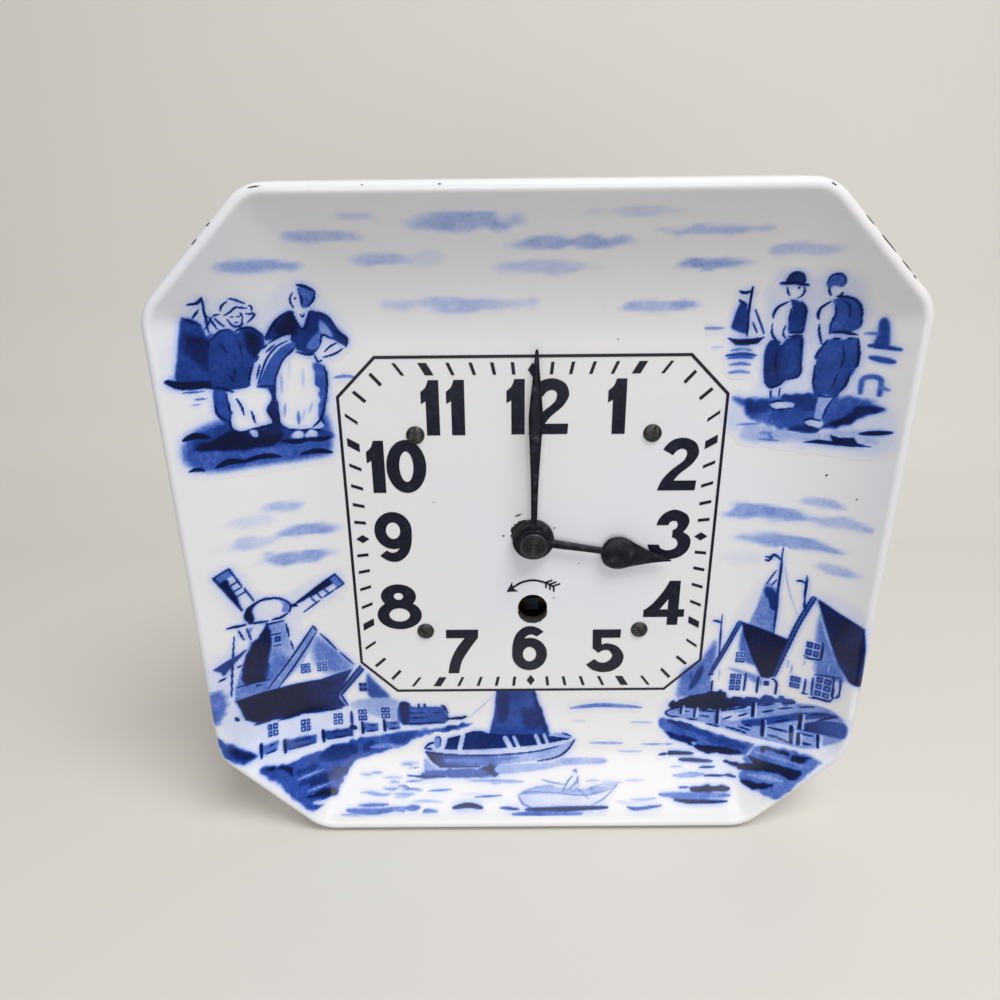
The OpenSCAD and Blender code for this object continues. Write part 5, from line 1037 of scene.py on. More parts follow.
# The quay: its deck, dark underside, planks and posts
stencil(quay, [(46, -67), (52, -64.8), (68, -65.6), (80, -61.6), (92, -57.8), (98, -58), (101, -61.6),
               (100.4, -68), (94, -73), (86, -75), (76, -75), (64, -72), (52, -69.6)], 0.36, soft=0.5)
stencil(quay, [(47.4, -63.6), (50, -61.6), (53.6, -60.6), (57, -59.2), (60.6, -58.2), (64, -58.6),
               (67, -60.6), (71, -60.8), (73.6, -60), (78, -59.3), (82, -58.2), (88, -58.2), (86, -60),
               (76, -63.2), (68, -65.2), (60, -66), (52, -65.8), (48, -65)], 1.0, soft=0.3, ragged=0.9,
        fade=(64, -62, 84, -60, 0.72))
stencil(quay, [(72, -69), (82, -65.8), (95, -59.6), (98.4, -60), (86, -66.6), (75, -70.4)], 0.76, soft=0.5)
stencil(quay, [(92, -65), (100.4, -60.8), (101.4, -66), (96, -68), (88.8, -68.4)], 0.92, soft=0.5,
        fade=(92, -66, 101, -64, 0.62))
stencil(quay, [(64, -67), (70, -66), (74, -67), (68, -69.4)], 0.16, soft=0.7)
brush(quay, [(46.8, -69.3), (58, -71.8), (68, -74.4), (80, -75.4), (95, -75)], 2.0, 0.03, taper=0.2,
      soft=0.3)
for line in (
        [(48.8, -65.2), (46, -66.8), (47.4, -68.4), (50.6, -68.7)], [(50.4, -66.3), (54, -66.7)],
        [(57.4, -66.1), (63, -66.5)], [(66, -65.8), (72.6, -64)], [(77.6, -62.6), (81.4, -61.2)],
        [(83.6, -60.4), (87.4, -59)], [(88.6, -60.2), (92.6, -58.6)], [(57.8, -68.2), (61, -68.6)],
        [(65.6, -69.1), (68.4, -67.8)], [(70.4, -67.5), (73.4, -66.2)], [(78, -65), (81.6, -63.6)],
        [(83, -62.7), (86.8, -61.2)], [(66.6, -71.8), (70, -72.4), (73.4, -73.1)],
        [(70.8, -71.2), (74.4, -72)], [(72.6, -70.3), (74.8, -70.6)], [(82, -67.7), (87, -65.6)],
        [(93.6, -64), (95.6, -62), (98.4, -59.4)], [(91.6, -62.2), (96.4, -59.4)],
        [(80, -69.9), (86, -70.1)], [(80, -72.5), (83, -72.7), (86.4, -73.5)], [(89, -69.7), (93.4, -69.6)],
        [(89, -72.7), (92.8, -72.4)], [(53.4, -69.4), (57, -70)], [(60, -71.2), (64.4, -72)]):
    brush(quay, line, 0.62, 1.0)
for x, high, low, width in (
        (51.3, -64.8, -67.4, 0.8), (56, -65.6, -68.6, 0.8), (63.6, -66, -70.6, 1.3),
        (75.1, -62.3, -66.8, 1.1), (89.5, -63, -68, 1.0), (78.4, -68, -72.8, 1.4),
        (87.1, -68.2, -73.2, 1.3), (94.8, -68.8, -72.4, 0.9), (89.1, -70.2, -73, 1.2)):
    brush(quay, [(x + 0.8, high + 0.2), (x + 0.8, low)], 1.0, 0.05, taper=0.2)
    brush(quay, [(x, high), (x - 0.1, low)], width, 1.0, taper=0.1)
# Water in the quay's shadow, with dark strokes of reflection
stencil(quay, [(44.4, -69.4), (50, -70.2), (56, -72), (62, -74.5), (70, -75.8), (76, -76.2), (74.6, -79),
               (72, -81.2), (60, -80), (52, -76.4), (45, -73.8)], 0.56, soft=0.6, ragged=0.4)
stencil(quay, [(78, -76.2), (94.6, -76), (92.4, -80), (86, -88), (82, -91.4), (75, -90.8), (71, -88),
               (74, -84), (72, -82), (74, -80)], 0.5, soft=0.5, ragged=0.4)
for points, tone in (
        ([(45.6, -69.4), (52, -70.8), (56, -72.6), (50, -72.2)], 0.9),
        ([(45, -73.6), (50, -75), (57.4, -77.4), (53, -78), (47.6, -76)], 0.92),
        ([(54.4, -78.4), (60, -79.2), (66, -78.8), (73, -80), (68, -81.2), (60, -81.6)], 1.0),
        ([(51, -71.8), (60, -73.6), (62, -76), (56, -74.6)], 0.78),
        ([(61, -76), (72, -76.6), (73, -79), (64, -79)], 0.72),
        ([(78.2, -76.4), (85.6, -76.6), (85.4, -77.8), (79.8, -77.6), (78.4, -79.2)], 1.0),
        ([(86.6, -79.2), (88, -76.8), (93, -76.2), (90, -78.2)], 1.0),
        ([(74, -80.4), (82, -81.4), (89.4, -81), (87, -84.6), (82, -83.8), (76, -84.8), (71, -85.4),
          (71.8, -83.4), (75.6, -82.8)], 1.0),
        ([(71.6, -89.2), (76, -88.4), (81.2, -87.5), (79, -89.6), (75, -90.8)], 1.0),
        ([(50, -91.9), (56, -92), (67, -91.7), (67.4, -93.2), (56, -93.6), (54, -92.6)], 1.0),
        ([(66.4, -84), (70.8, -83.6), (70, -84.8)], 1.0)):
    stencil(quay, points, tone, soft=0.28, ragged=0.45)
for line, width, tone in (
        ([(44, -82.3), (48, -81.6), (55.8, -81.8)], 1.3, 1),
        ([(51, -83.8), (56, -84), (62.4, -84.3)], 1.2, 1), ([(58, -86.3), (63.4, -86.1)], 0.7, 0.9),
        ([(59.6, -88.9), (66.6, -88.6)], 0.8, 1), ([(66.8, -88.2), (70, -88.4)], 1.0, 1),
        ([(49, -95.6), (56, -96.2), (67, -96.1)], 1.1, 1), ([(49, -88.8), (60, -88.4)], 1.8, 0.34),
        ([(44, -94.2), (56, -94.6), (68, -94.4)], 2.0, 0.46), ([(45, -78.7), (49, -78.6)], 0.6, 0.4),
        ([(48, -86), (52, -86)], 0.6, 0.3), ([(74, -86.6), (84, -85.6)], 1.4, 0.36),
        ([(76, -79), (90, -79.4)], 1.2, 0.4)):
    brush(quay, line, width, tone, soft=0.22)
fire("painted_quay", quay)

# Dial printing: the frame line, minute marks and quarter diamonds are screened on in near-black
# enamel that fires as glossy as the white. To the eye it is an even blue-black, a little paler
# in spots where the print is thin, here about 1.4 mm wide.
print_black, tree, shader, place = new_material("printed_black_enamel")
worn = add_node(tree, "ShaderNodeTexNoise", {"Vector": place, "Scale": 700, "Detail": 4}).outputs["Fac"]
black = colours(add_node(tree, "ShaderNodeValToRGB", {"Fac": worn}),
                [(0.3, "#11131f"), (0.62, "#1b1d2c"), (0.8, "#2e3040")])
tree.links.new(black, shader.inputs["Base Color"])
shader.inputs["Roughness"].default_value = 0.2
shader.inputs["IOR"].default_value = 1.52
shader.inputs["Specular IOR Level"].default_value = 0.36


def band(points, width, closed=False):
    """Outline of a line of even width through some points."""
    p = np.array(points, float)
    n = len(p)
    sides = []
    for i in range(n):
        before = p[i] - p[i - 1] if i or closed else p[1] - p[0]
        after = p[(i + 1) % n] - p[i] if i < n - 1 or closed else p[-1] - p[-2]
        before, after = before / np.linalg.norm(before), after / np.linalg.norm(after)
        mitre = np.array([-(before + after)[1], (before + after)[0]])
        mitre /= np.linalg.norm(mitre)
        mitre /= max(mitre @ np.array([-before[1], before[0]]), 0.4)
        sides.append((p[i] + mitre * width / 2, p[i] - mitre * width / 2))
    pairs = [(i, (i + 1) % n) for i in range(n if closed else n - 1)]
    return [[sides[a][0], sides[b][0], sides[b][1], sides[a][1]] for a, b in pairs]


def arc(cx, cy, rx, ry, start, end, count=26):
    """Points on an ellipse, angles anticlockwise from three o'clock."""
    return [(cx + rx * math.cos(math.radians(a)), cy + ry * math.sin(math.radians(a)))
            for a in np.linspace(start, end, count)]


def print_on(name, shapes, material, lift=0.14):
    """Joins overlapping outlines into one thin film on the plate."""
    points, faces = [], []
    for shape in shapes:
        area = sum(a[0] * b[1] - b[0] * a[1] for a, b in zip(shape, shape[1:] + shape[:1]))
        shape = shape if area > 0 else shape[::-1]
        faces.append(list(range(len(points), len(points) + len(shape))))
        points += [Vector((p[0], p[1])) for p in shape]
    found, _, tiles, _, _, owners = delaunay_2d_cdt(points, [], faces, 1, 1e-4)
    bm = bmesh.new()
    high = surface(np.array([p.x for p in found]), np.array([p.y for p in found])) + lift
    verts = [bm.verts.new((p.x, p.y, z)) for p, z in zip(found, high)]
    for tile, owner in zip(tiles, owners):
        if owner:
            bm.faces.new([verts[i] for i in tile])
    bmesh.ops.recalc_face_normals(bm, faces=bm.faces[:])
    if bm.faces and sum(f.normal.z * f.calc_area() for f in bm.faces) < 0:
        bmesh.ops.reverse_faces(bm, faces=bm.faces[:])
    return finish_piece(name, bm, material, "case", sharp=180)


frame_half, frame_cut, frame_w = 57, 11.5, 0.9
mark_in, mark_out, minute_mark_w, hour_mark_w = 51.7, 55.3, 1.0, 2.5
diamond_at, diamond_long, diamond_wide = 53.1, 2.1, 1.4
# The screen was laid a little to the left and low, and the print shrank slightly across
shrink_x, stretch_y, shift_x, shift_y = 0.992, 1.003, -0.45, -0.15
corner = frame_half - frame_cut
octagon = [(corner, frame_half), (frame_half, corner), (frame_half, -corner), (corner, -frame_half),
           (-corner, -frame_half), (-frame_half, -corner), (-frame_half, corner), (-corner, frame_half)]
frame_line = band(octagon, frame_w, closed=True)
marks = []
for minute in range(60):
    turn = math.radians(6 * minute)
    way = np.array([math.sin(turn), math.cos(turn)])
    square = max(abs(way[0]), abs(way[1]))
    cut = (abs(way[0]) + abs(way[1])) / (2 - frame_cut / frame_half)
    out = max(square, cut)
    inner, outer_end = way * mark_in / out, way * mark_out / out
    if minute % 15 == 0:
        mid = way * diamond_at / out
        side = np.array([way[1], -way[0]])
        marks.append([mid + way * diamond_long, mid + side * diamond_wide,
                      mid - way * diamond_long, mid - side * diamond_wide])
        continue
    width = hour_mark_w if minute % 5 == 0 else minute_mark_w
    level = np.array([1.0, 0]) if abs(way[1]) > abs(way[0]) else np.array([0, 1.0])
    if cut > square:
        level = np.array([1.0, -np.sign(way[0] * way[1])]) / math.sqrt(2)
    half = level * width / 2
    marks.append([inner - half, outer_end - half, outer_end + half, inner + half])
line_and_marks = [[(p[0] * shrink_x + shift_x, p[1] * stretch_y + shift_y) for p in shape]
                  for shape in frame_line + marks]
print_on("dial_frame_and_marks", line_and_marks, print_black)

# Numbers: plain bold sans, 17 mm high, screened on in the same black enamel. Each is built
# from oval rings, bars and a few curved outlines, so that it stays one crisp flat film.
def ring(cx, cy, rx, ry, side, top):
    """An oval ring, thicker at its sides than at its top and bottom."""
    return [arc(cx, cy, rx, ry, a, a + 180) + arc(cx, cy, rx - side, ry - top, a + 180, a)
            for a in (0, 180)]


def glyph(*runs):
    """An outline of smooth runs that meet at corners."""
    return [tuple(p) for run in runs for p in (rounded(run, closed=False) if len(run) > 2 else run)]


one = [glyph([(1.4, 0), (5.3, 0)], [(5.3, 16.7), (2.3, 16.7)], [(2.3, 16.7), (1.5, 14.6), (0, 13.2)],
             [(0, 9.6), (1.4, 10.4)])]
two = [glyph([(0.7, 13.1), (1.6, 14.6), (3.7, 16.3), (6.9, 16.8), (10.1, 15.4), (11.3, 12.9), (11.1, 10.9),
              (9.4, 8.3), (6.2, 5.5), (4.4, 3.2)], [(11.3, 3.2), (11.1, 0)],
             [(-0.4, 0), (0.9, 3.4), (3.4, 6.5), (6.9, 9.5), (7.8, 11.4), (7.6, 12.8), (6.3, 13.4),
              (4.8, 12.8), (3.7, 11.4)])]
three = [glyph([(2.5, 11.8), (3.2, 14), (5.1, 16.1), (8.1, 17), (11.6, 15.4), (12.6, 13), (12, 10.9),
                (10.9, 9.4)],
               [(10.9, 9.4), (12.8, 8), (13.5, 5.9), (12.8, 3), (10.4, 0.8), (7, 0), (3.4, 0.9), (1, 2.9),
                (0.1, 5.2)],
               [(3.6, 5.1), (4.5, 3.7), (6.6, 3.1), (8.7, 3.8), (9.5, 5.3), (8.9, 6.9), (7.6, 7.6)],
               [(7.6, 10.1), (8.6, 10.6), (9.1, 11.8), (8.6, 13), (7.4, 13.2), (6.5, 12.6), (6.2, 11.8)])]
four = [glyph([(5.2, 3), (0, 3)], [(0, 5.4), (2.6, 7.8), (5.7, 12.1), (7.8, 16.3)], [(9, 16.3), (9, 9.6)],
              [(7.8, 9.6), (5.2, 5.8)]), box(7.8, 11.3, 0, 16.3), box(0, 13.2, 3, 5.8)]
five = [glyph([(1.8, 16.7), (11.1, 16.7)], [(11, 13.5), (4.8, 13.5)],
              [(4.9, 10.9), (6.9, 11.3), (10.2, 10.1), (12.4, 6.6), (11.6, 2.9), (8.9, 0.6), (5.5, 0),
               (2.3, 0.9), (0, 3)],
              [(2.7, 5.2), (4.8, 3.8), (7.1, 4.2), (8.6, 6.3), (7.5, 8.5), (5.4, 8.6), (4.1, 7.6)],
              [(2, 9.4), (1.8, 16.7)])]
seven = [glyph([(0, 13.8), (0, 17)], [(10.6, 17), (10.5, 13.9)],
               [(10.5, 13.9), (7.9, 10), (5, 4.8), (3.9, 0)],
               [(0.3, 0), (1.1, 4.5), (3.1, 9.4), (6.1, 13.8)])]
eight = ring(7.2, 12.3, 5.65, 4.4, 4.15, 3.1) + ring(7.2, 5.4, 7.2, 5.4, 3.85, 2.9)
nine = ring(5.8, 10.85, 5.8, 6.35, 3.6, 3.5) + [glyph(
    [(11.6, 10), (11.3, 6.4), (10.2, 3), (7.9, 0.6), (5.5, 0), (3.1, 0.7), (1.2, 2.2)],
    [(3.4, 4), (5, 3.2), (6.7, 3.7), (7.8, 5.3)], [(9, 7), (9, 10)])]
six = [[(11.6 - x, 17.2 - y) for x, y in shape] for shape in nine]
nought = ring(6, 8.5, 6, 8.5, 3.9, 3.6)

numbers = []
for shapes, x0, y0 in (
        (one, -8, 33.7), (two, -1.2, 33.7), (one, 21.5, 33.6), (two, 37.9, 15.4), (three, 35.7, -8),
        (four, 36, -32.1), (five, 18, -50.4), (six, -6.7, -49.4), (seven, -28.4, -50.4),
        (eight, -50.4, -33), (nine, -49.3, -8.2), (one, -50, 15.4), (nought, -44.2, 15.3),
        (one, -32.9, 33.6), (one, -25.5, 33.6)):
    numbers += [[(x0 + x, y0 + y) for x, y in shape] for shape in shapes]
print_on("dial_numbers", numbers, print_black)

# Winding arrow: a bent arrow with three feathered barbs, screened on in the same black enamel
# over the keyhole, that shows which way to wind.
bow = rounded([(-6.4, -17.8), (-3.4, -15.9), (0.2, -15.2), (4, -16.1), (6.9, -17.7)], closed=False, per=8)
arrow = band(bow, 0.72) + [[(-8.4, -19.4), (-6.6, -15.7), (-6.3, -18)],
                           [(-8.4, -19.4), (-6.3, -18), (-4.6, -19.2)]]
for k in range(3):
    bx, by = 4.2 + 1.25 * k, -16 - 0.66 * k
    arrow += band([(bx, by), (bx + 2.1, by + 0.8)], 0.6) + band([(bx, by), (bx + 0.1, by - 2.1)], 0.6)
print_on("winding_arrow", arrow, print_black)

# Worn spots: the enamel has chipped round the keyhole and along the crest's upper corners, down
# to the dark ground coat and rust, and a dark ragged strip runs along the left of the centre hole.
# To the eye this is a dull, flaky brown-black without any gloss; its flakes, really finer, are
# drawn 0.7 mm wide to show.
rusty_chip, tree, shader, place = new_material("chipped_enamel_rust")
flake = add_node(tree, "ShaderNodeTexNoise", {"Vector": place, "Scale": 1400, "Detail": 4}).outputs["Fac"]
rust = colours(add_node(tree, "ShaderNodeValToRGB", {"Fac": flake}),
               [(0.35, "#0f0d0c"), (0.55, "#231a16"), (0.72, "#46352b")])
tree.links.new(rust, shader.inputs["Base Color"])
shader.inputs["Roughness"].default_value = 0.75
pitted = add_node(tree, "ShaderNodeBump", {"Strength": 0.8, "Distance": 0.0002, "Height": flake})
tree.links.new(pitted.outputs["Normal"], shader.inputs["Normal"])


def chip(cx, cy, rx, ry, turn, seed, count=22, ragged=0.3):
    """Outline of a ragged chip."""
    chance = np.random.default_rng(seed)
    reach = 1 + ragged * (2 * chance.random(count) - 1)
    angles = np.arange(count) * 2 * math.pi / count
    c, s = math.cos(math.radians(turn)), math.sin(math.radians(turn))
    return [(cx + k * (rx * math.cos(a) * c - ry * math.sin(a) * s),
             cy + k * (rx * math.cos(a) * s + ry * math.sin(a) * c)) for a, k in zip(angles, reach)]


def worn_ring(cx, cy, r, start, end, wide, seed, ragged=0.5):
    """A ragged strip along the edge of a hole."""
    chance = np.random.default_rng(seed)
    angles = np.radians(np.linspace(start, end, 26))
    swell = np.sin(np.linspace(0, math.pi, 26)) ** 0.6 * (1 - ragged + 2 * ragged * chance.random(26))
    out = [(cx + (r + wide * k) * math.cos(a), cy + (r + wide * k) * math.sin(a))
           for a, k in zip(angles, swell)]
    back = [(cx + (r + 0.02) * math.cos(a), cy + (r + 0.02) * math.sin(a)) for a in angles[::-1]]
    return out + back


def turned(profile, segments=64, place=(0, 0, 0)):
    """Spins a profile of (radius, height) points about an upright axis and puts it in place."""
    bm = bmesh.new()
    verts = [bm.verts.new((r, 0, z)) for r, z in profile]
    edges = [bm.edges.new(pair) for pair in zip(verts, verts[1:])]
    bmesh.ops.spin(bm, geom=verts + edges, cent=(0, 0, 0), axis=(0, 0, 1), angle=2 * math.pi,
                   steps=segments, use_merge=True)
    bmesh.ops.remove_doubles(bm, verts=bm.verts[:], dist=1e-4)
    bmesh.ops.recalc_face_normals(bm, faces=bm.faces[:])
    bmesh.ops.translate(bm, verts=bm.verts[:], vec=place)
    return bm


keyhole_wear = [worn_ring(0, KEYHOLE_Y, 4.6, 190, 352, 1.15, 4, ragged=0.16)]
# A dark ragged strip along the left of the centre hole, up to 2.9 mm wide, partly under the hour hand's
# boss.
dark_strip_by_centre_hole = [worn_ring(0, 0, CENTRE_HOLE_R, 92, 208, 2.9, 6, ragged=0.1)]
spots = [chip(-4.6, 7.6, 1.2, 0.22, 22, 2), chip(-9.2, 0.6, 0.35, 0.3, 0, 3),
         chip(6.6, 3.2, 0.3, 0.22, 0, 5), chip(6.8, -21.6, 0.25, 0.22, 0, 7),
         chip(23.5, 61.6, 0.2, 0.2, 0, 8), chip(-30.5, 12.2, 0.2, 0.15, 0, 9),
         chip(14.5, -9.3, 0.2, 0.16, 0, 10), chip(86, 22, 0.4, 0.25, 60, 12),
         chip(94, 16, 0.25, 0.2, 0, 13), chip(72.3, 102.2, 0.7, 0.14, -30, 14),
         chip(82.8, 93.8, 1.5, 0.16, -45, 15), chip(88.4, 88.2, 3.2, 0.2, -45, 16),
         chip(93.9, 82.6, 2.2, 0.16, -45, 17), chip(96.4, 79.9, 0.7, 0.14, -48, 18),
         chip(-86.3, 90.2, 1.0, 0.18, 45, 19), chip(-82.2, 94.3, 0.7, 0.2, 45, 20),
         chip(-69.6, 102.9, 1.4, 0.14, 8, 21), chip(-43, 103.1, 0.25, 0.12, 0, 23),
         chip(-24, 103.1, 0.4, 0.12, 0, 24), chip(-103.2, -54.6, 0.12, 0.6, 0, 25),
         chip(103.2, -47, 0.1, 0.4, 0, 27)]
print_on("chips_and_dark_strip_on_the_dial", keyhole_wear + dark_strip_by_centre_hole + spots, rusty_chip, lift=0.16)

# Keyhole rim: the enamel runs into the hole in a thick white lip, and inside it the key has
# worn the wall bare down to rusty steel.
bare_wall = turned([(4.5, -1.62), (4.5, 0.02), (4.56, 0.12), (4.72, 0.14), (4.76, 0.04), (4.7, -1.62)],
                   place=(0, KEYHOLE_Y, 0))
finish_piece("bare_keyhole_wall", bare_wall, rusty_chip, "case")
lip = turned([(4.66, -1.55), (4.66, 0.02), (4.7, 0.08), (5.3, 0.08), (5.3, -0.3), (5.1, -0.3),
              (5.05, -1.55)], place=(0, KEYHOLE_Y, 0))
finish_piece("keyhole_lip", lip, white_enamel, "case")

# Dial screws: four slotted cheesehead screws of blackened steel that hold the dial to the
# case. To the eye their heads are dull dark grey, with specks of bare steel where the black
# has worn; the specks, really finer, are drawn 0.6 mm wide to show.
screw_steel, tree, shader, place = new_material("blackened_screw_steel")
specks = add_node(tree, "ShaderNodeTexNoise", {"Vector": place, "Scale": 1800, "Detail": 4}).outputs["Fac"]
specked = colours(add_node(tree, "ShaderNodeValToRGB", {"Fac": specks}),
                  [(0.35, "#2f2e2c"), (0.55, "#4a4845"), (0.72, "#6f6c66")])
tree.links.new(specked, shader.inputs["Base Color"])
shader.inputs["Metallic"].default_value = 0.75
dull = add_node(tree, "ShaderNodeMapRange", {"Value": specks, "To Min": 0.35,
                                             "To Max": 0.65}).outputs["Result"]
tree.links.new(dull, shader.inputs["Roughness"])
dints = add_node(tree, "ShaderNodeBump", {"Strength": 0.5, "Distance": 0.0001, "Height": specks})
tree.links.new(dints.outputs["Normal"], shader.inputs["Normal"])


def weld_in(bm, added):
    """Adds a second bmesh to the first one."""
    carried = bpy.data.meshes.new("carried")
    added.to_mesh(carried)
    added.free()
    bm.from_mesh(carried)


screws = bmesh.new()
slot_half, slot_floor = 0.32, 0.55
for sx, sy, slot_turn in (
        (-SCREW_X, -SCREW_Y, 145), (-SCREW_X, SCREW_Y, 90), (SCREW_X, -SCREW_Y, 130),
        (SCREW_X, SCREW_Y, 75)):
    head = turned([(0, 1.1), (1.4, 1.06), (2.1, 0.95), (2.5, 0.72), (2.72, 0.42), (2.75, 0.0), (1.45, 0.0),
                   (1.45, -8), (0, -8)], segments=48)
    way = Matrix.Rotation(math.radians(slot_turn), 3, "Z")
    for side in (-1, 1):
        for off in (slot_half, slot_half + 0.02):
            slice_off(head, way @ Vector((0, side * off, 0)), way @ Vector((0, 1, 0)), clear=False)
    for v in head.verts:
        across = abs((way.inverted() @ v.co).y)
        if v.co.z > slot_floor and across < slot_half + 0.005:
            v.co.z = slot_floor
    bmesh.ops.translate(head, verts=head.verts[:], vec=(sx, sy, 0.02))
    weld_in(screws, head)
screw_piece = finish_piece("slotted_dial_screws", screws, screw_steel, "case", sharp=30)
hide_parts("dial_screws")

# Hands: punched from steel sheet, domed and blued almost black, each on a round boss. To the
# eye they are blue-black with a soft shine, rubbed to grey and brown in patches of 2 to 3 mm.
hand_black, tree, shader, place = new_material("blackened_steel_hands")
patina = add_node(tree, "ShaderNodeTexNoise", {"Vector": place, "Scale": 420, "Detail": 5,
                                               "Roughness": 0.65}).outputs["Fac"]
dark = colours(add_node(tree, "ShaderNodeValToRGB", {"Fac": patina}),
               [(0.35, "#14151b"), (0.55, "#23242c"), (0.7, "#43424a"), (0.85, "#6b6864")])
tree.links.new(dark, shader.inputs["Base Color"])
shader.inputs["Metallic"].default_value = 0.7
rubbed = add_node(tree, "ShaderNodeMapRange", {"Value": patina, "To Min": 0.3,
                                               "To Max": 0.6}).outputs["Result"]
tree.links.new(rubbed, shader.inputs["Roughness"])
rolled = add_node(tree, "ShaderNodeBump", {"Strength": 0.3, "Distance": 0.0001, "Height": patina})
tree.links.new(rolled.outputs["Normal"], shader.inputs["Normal"])


def blade(bm, outline, base, thick, dome, turn):
    """A hand's blade: half widths along its length, domed across and closed underneath."""
    stations = rounded(outline, closed=False, per=7)
    lay = Matrix.Rotation(math.radians(90 - turn), 4, "Z")
    for side, flip in ((1, False), (0, True)):
        made = bmesh.ops.create_grid(bm, x_segments=len(stations) - 1, y_segments=10, size=1)["verts"]
        for v in made:
            i = round((v.co.x + 1) / 2 * (len(stations) - 1))
            s, w = stations[i]
            across = v.co.y
            crown = thick * 0.35 + (thick * 0.65 + dome * max(w, 0) / 5) * (1 - across ** 2) ** 0.6
            v.co = lay @ Vector((s, max(w, 0.02) * across, base + side * crown))
        if flip:
            bmesh.ops.reverse_faces(bm, faces=list({f for v in made for f in v.link_faces}))
    bmesh.ops.bridge_loops(bm, edges=[e for e in bm.edges if e.is_boundary])


hour_turn, minute_turn = 99.5, 0.5
hour = bmesh.new()
blade(hour, [(3.5, 1.5), (8, 1.45), (14, 1.25), (20.6, 1.15), (21.5, 1.4), (21.9, 2.6), (23.2, 4.4),
             (25.2, 5.35), (27, 5.55), (29.2, 5.05), (31.5, 4), (35.2, 2.65), (37.6, 1.8), (40.6, 0.95),
             (43.5, 0.2)], base=2.6, thick=0.6, dome=0.9, turn=hour_turn)
weld_in(hour, turned([(2.9, 0.6), (6.2, 0.6), (6.4, 0.8), (6.45, 2.7), (6.3, 3.05), (5.9, 3.25),
                      (5.2, 3.35), (4.6, 3.3), (4.2, 3.5), (2.9, 3.5)]))
hour_piece = finish_piece("pear_hour_hand", hour, hand_black, "hour_train")
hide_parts("hour_hand")

minute = bmesh.new()
blade(minute, [(2.5, 0.95), (10, 0.95), (20, 1.15), (30, 1.6), (38, 2.02), (42, 1.98), (48, 1.45),
               (54, 0.88), (58, 0.6), (59.6, 0.42), (60, 0.1)], base=5.0, thick=0.6, dome=0.35,
      turn=minute_turn)
weld_in(minute, turned([(1.9, 4.9), (4.7, 4.9), (4.9, 5.05), (4.9, 5.4), (4.7, 5.6), (1.9, 5.6)]))
minute_piece = finish_piece("lance_minute_hand", minute, hand_black, "minute_train")
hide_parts("minute_hand")

# Hand nut: a low domed nut turned from steel rod and blackened, which holds the minute hand
# down. To the eye its face is dark satin; the rings that the tool left, really 0.1 mm apart, are
# drawn 0.36 mm apart as grooves, and the circles of light they catch are painted sheen: paler
# rings in the colour 0.6 mm apart.
nut_top, nut_face_r, ring_step = 7.75, 3.9, 0.36
ringed = [(0.0, nut_top), (0.5, 7.78)]
for k in range(9):
    r = 0.65 + ring_step * k
    crown = nut_top - 0.75 * (r / nut_face_r) ** 2
    ringed += [(r, crown), (r + 0.1, crown - 0.16), (r + 0.24, crown - 0.17)]
ringed += [(3.95, 6.75), (4.15, 6.4), (4.2, 5.8), (4.1, 5.6), (1.05, 5.6)]
turned_black, tree, shader, place = new_material("lathe_turned_black_steel")
centred = add_node(tree, "ShaderNodeMapping", {"Vector": place, "Location": (0, 0, -DIAL_Z)}).outputs[0]
rings = add_node(tree, "ShaderNodeTexWave", {"Vector": centred, "Scale": 520, "Distortion": 0.6,
                                             "Detail": 2, "Detail Scale": 60}, wave_type="RINGS",
                 rings_direction="Y").outputs["Fac"]
# The ramp's paler tones on the rings are painted sheen: the circles of light on the turned face.
cut = colours(add_node(tree, "ShaderNodeValToRGB", {"Fac": rings}),
              [(0.2, "#1c1c21"), (0.6, "#2a292f"), (0.85, "#3d3b3f"), (0.97, "#545050")])
tree.links.new(cut, shader.inputs["Base Color"])
shader.inputs["Metallic"].default_value = 0.6
shader.inputs["Roughness"].default_value = 0.45
nut_piece = finish_piece("ringed_hand_nut", turned(ringed, segments=72), turned_black, "minute_train")
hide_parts("hand_nut")

# Works and case: the solids that the frame carries over, stamped, rolled or turned and left
# plain. Each finish is slightly uneven in tone and gloss over a size of its own, under fine
# tool marks that are really 0.1 mm apart and are drawn 0.4 mm apart to show.
def metal(name, light, mid, dark_tone, rough, size_mm, metallic=1.0, marks=0.3):
    """A plain finish whose tone and gloss drift over the given size."""
    made, tree, shader, place = new_material(name)
    drift = add_node(tree, "ShaderNodeTexNoise", {"Vector": place, "Scale": 1000 / size_mm,
                                                  "Detail": 4}).outputs["Fac"]
    tone = colours(add_node(tree, "ShaderNodeValToRGB", {"Fac": drift}),
                   [(0.3, dark_tone), (0.5, mid), (0.7, light)])
    tree.links.new(tone, shader.inputs["Base Color"])
    shader.inputs["Metallic"].default_value = metallic
    gloss = add_node(tree, "ShaderNodeMapRange", {"Value": drift, "From Min": 0.3, "From Max": 0.7,
                                                  "To Min": rough[0], "To Max": rough[1]}).outputs["Result"]
    tree.links.new(gloss, shader.inputs["Roughness"])
    fine = add_node(tree, "ShaderNodeTexNoise", {"Vector": place, "Scale": 2500,
                                                 "Detail": 2}).outputs["Fac"]
    bump = add_node(tree, "ShaderNodeBump", {"Strength": marks, "Distance": 0.00005, "Height": fine})
    tree.links.new(bump.outputs["Normal"], shader.inputs["Normal"])
    return made


# Tinned sheet of the case and its cover: pale grey with a satin shine, cloudy over 16 mm
tinplate = metal("tinned_steel", "#b6b8b8", "#a9abac", "#999b9c", rough=(0.3, 0.42), size_mm=16)
# Brass plates and wheels: warm yellow and smooth, browner where they have tarnished
brass = metal("rolled_brass", "#d3ae62", "#c19c52", "#a5823f", rough=(0.22, 0.36), size_mm=10)
# The winding square under old oil: nearly black and dull, deep in the keyhole
dark_steel = metal("oiled_dark_steel", "#2f3742", "#20262f", "#14181f", rough=(0.4, 0.6), size_mm=3)
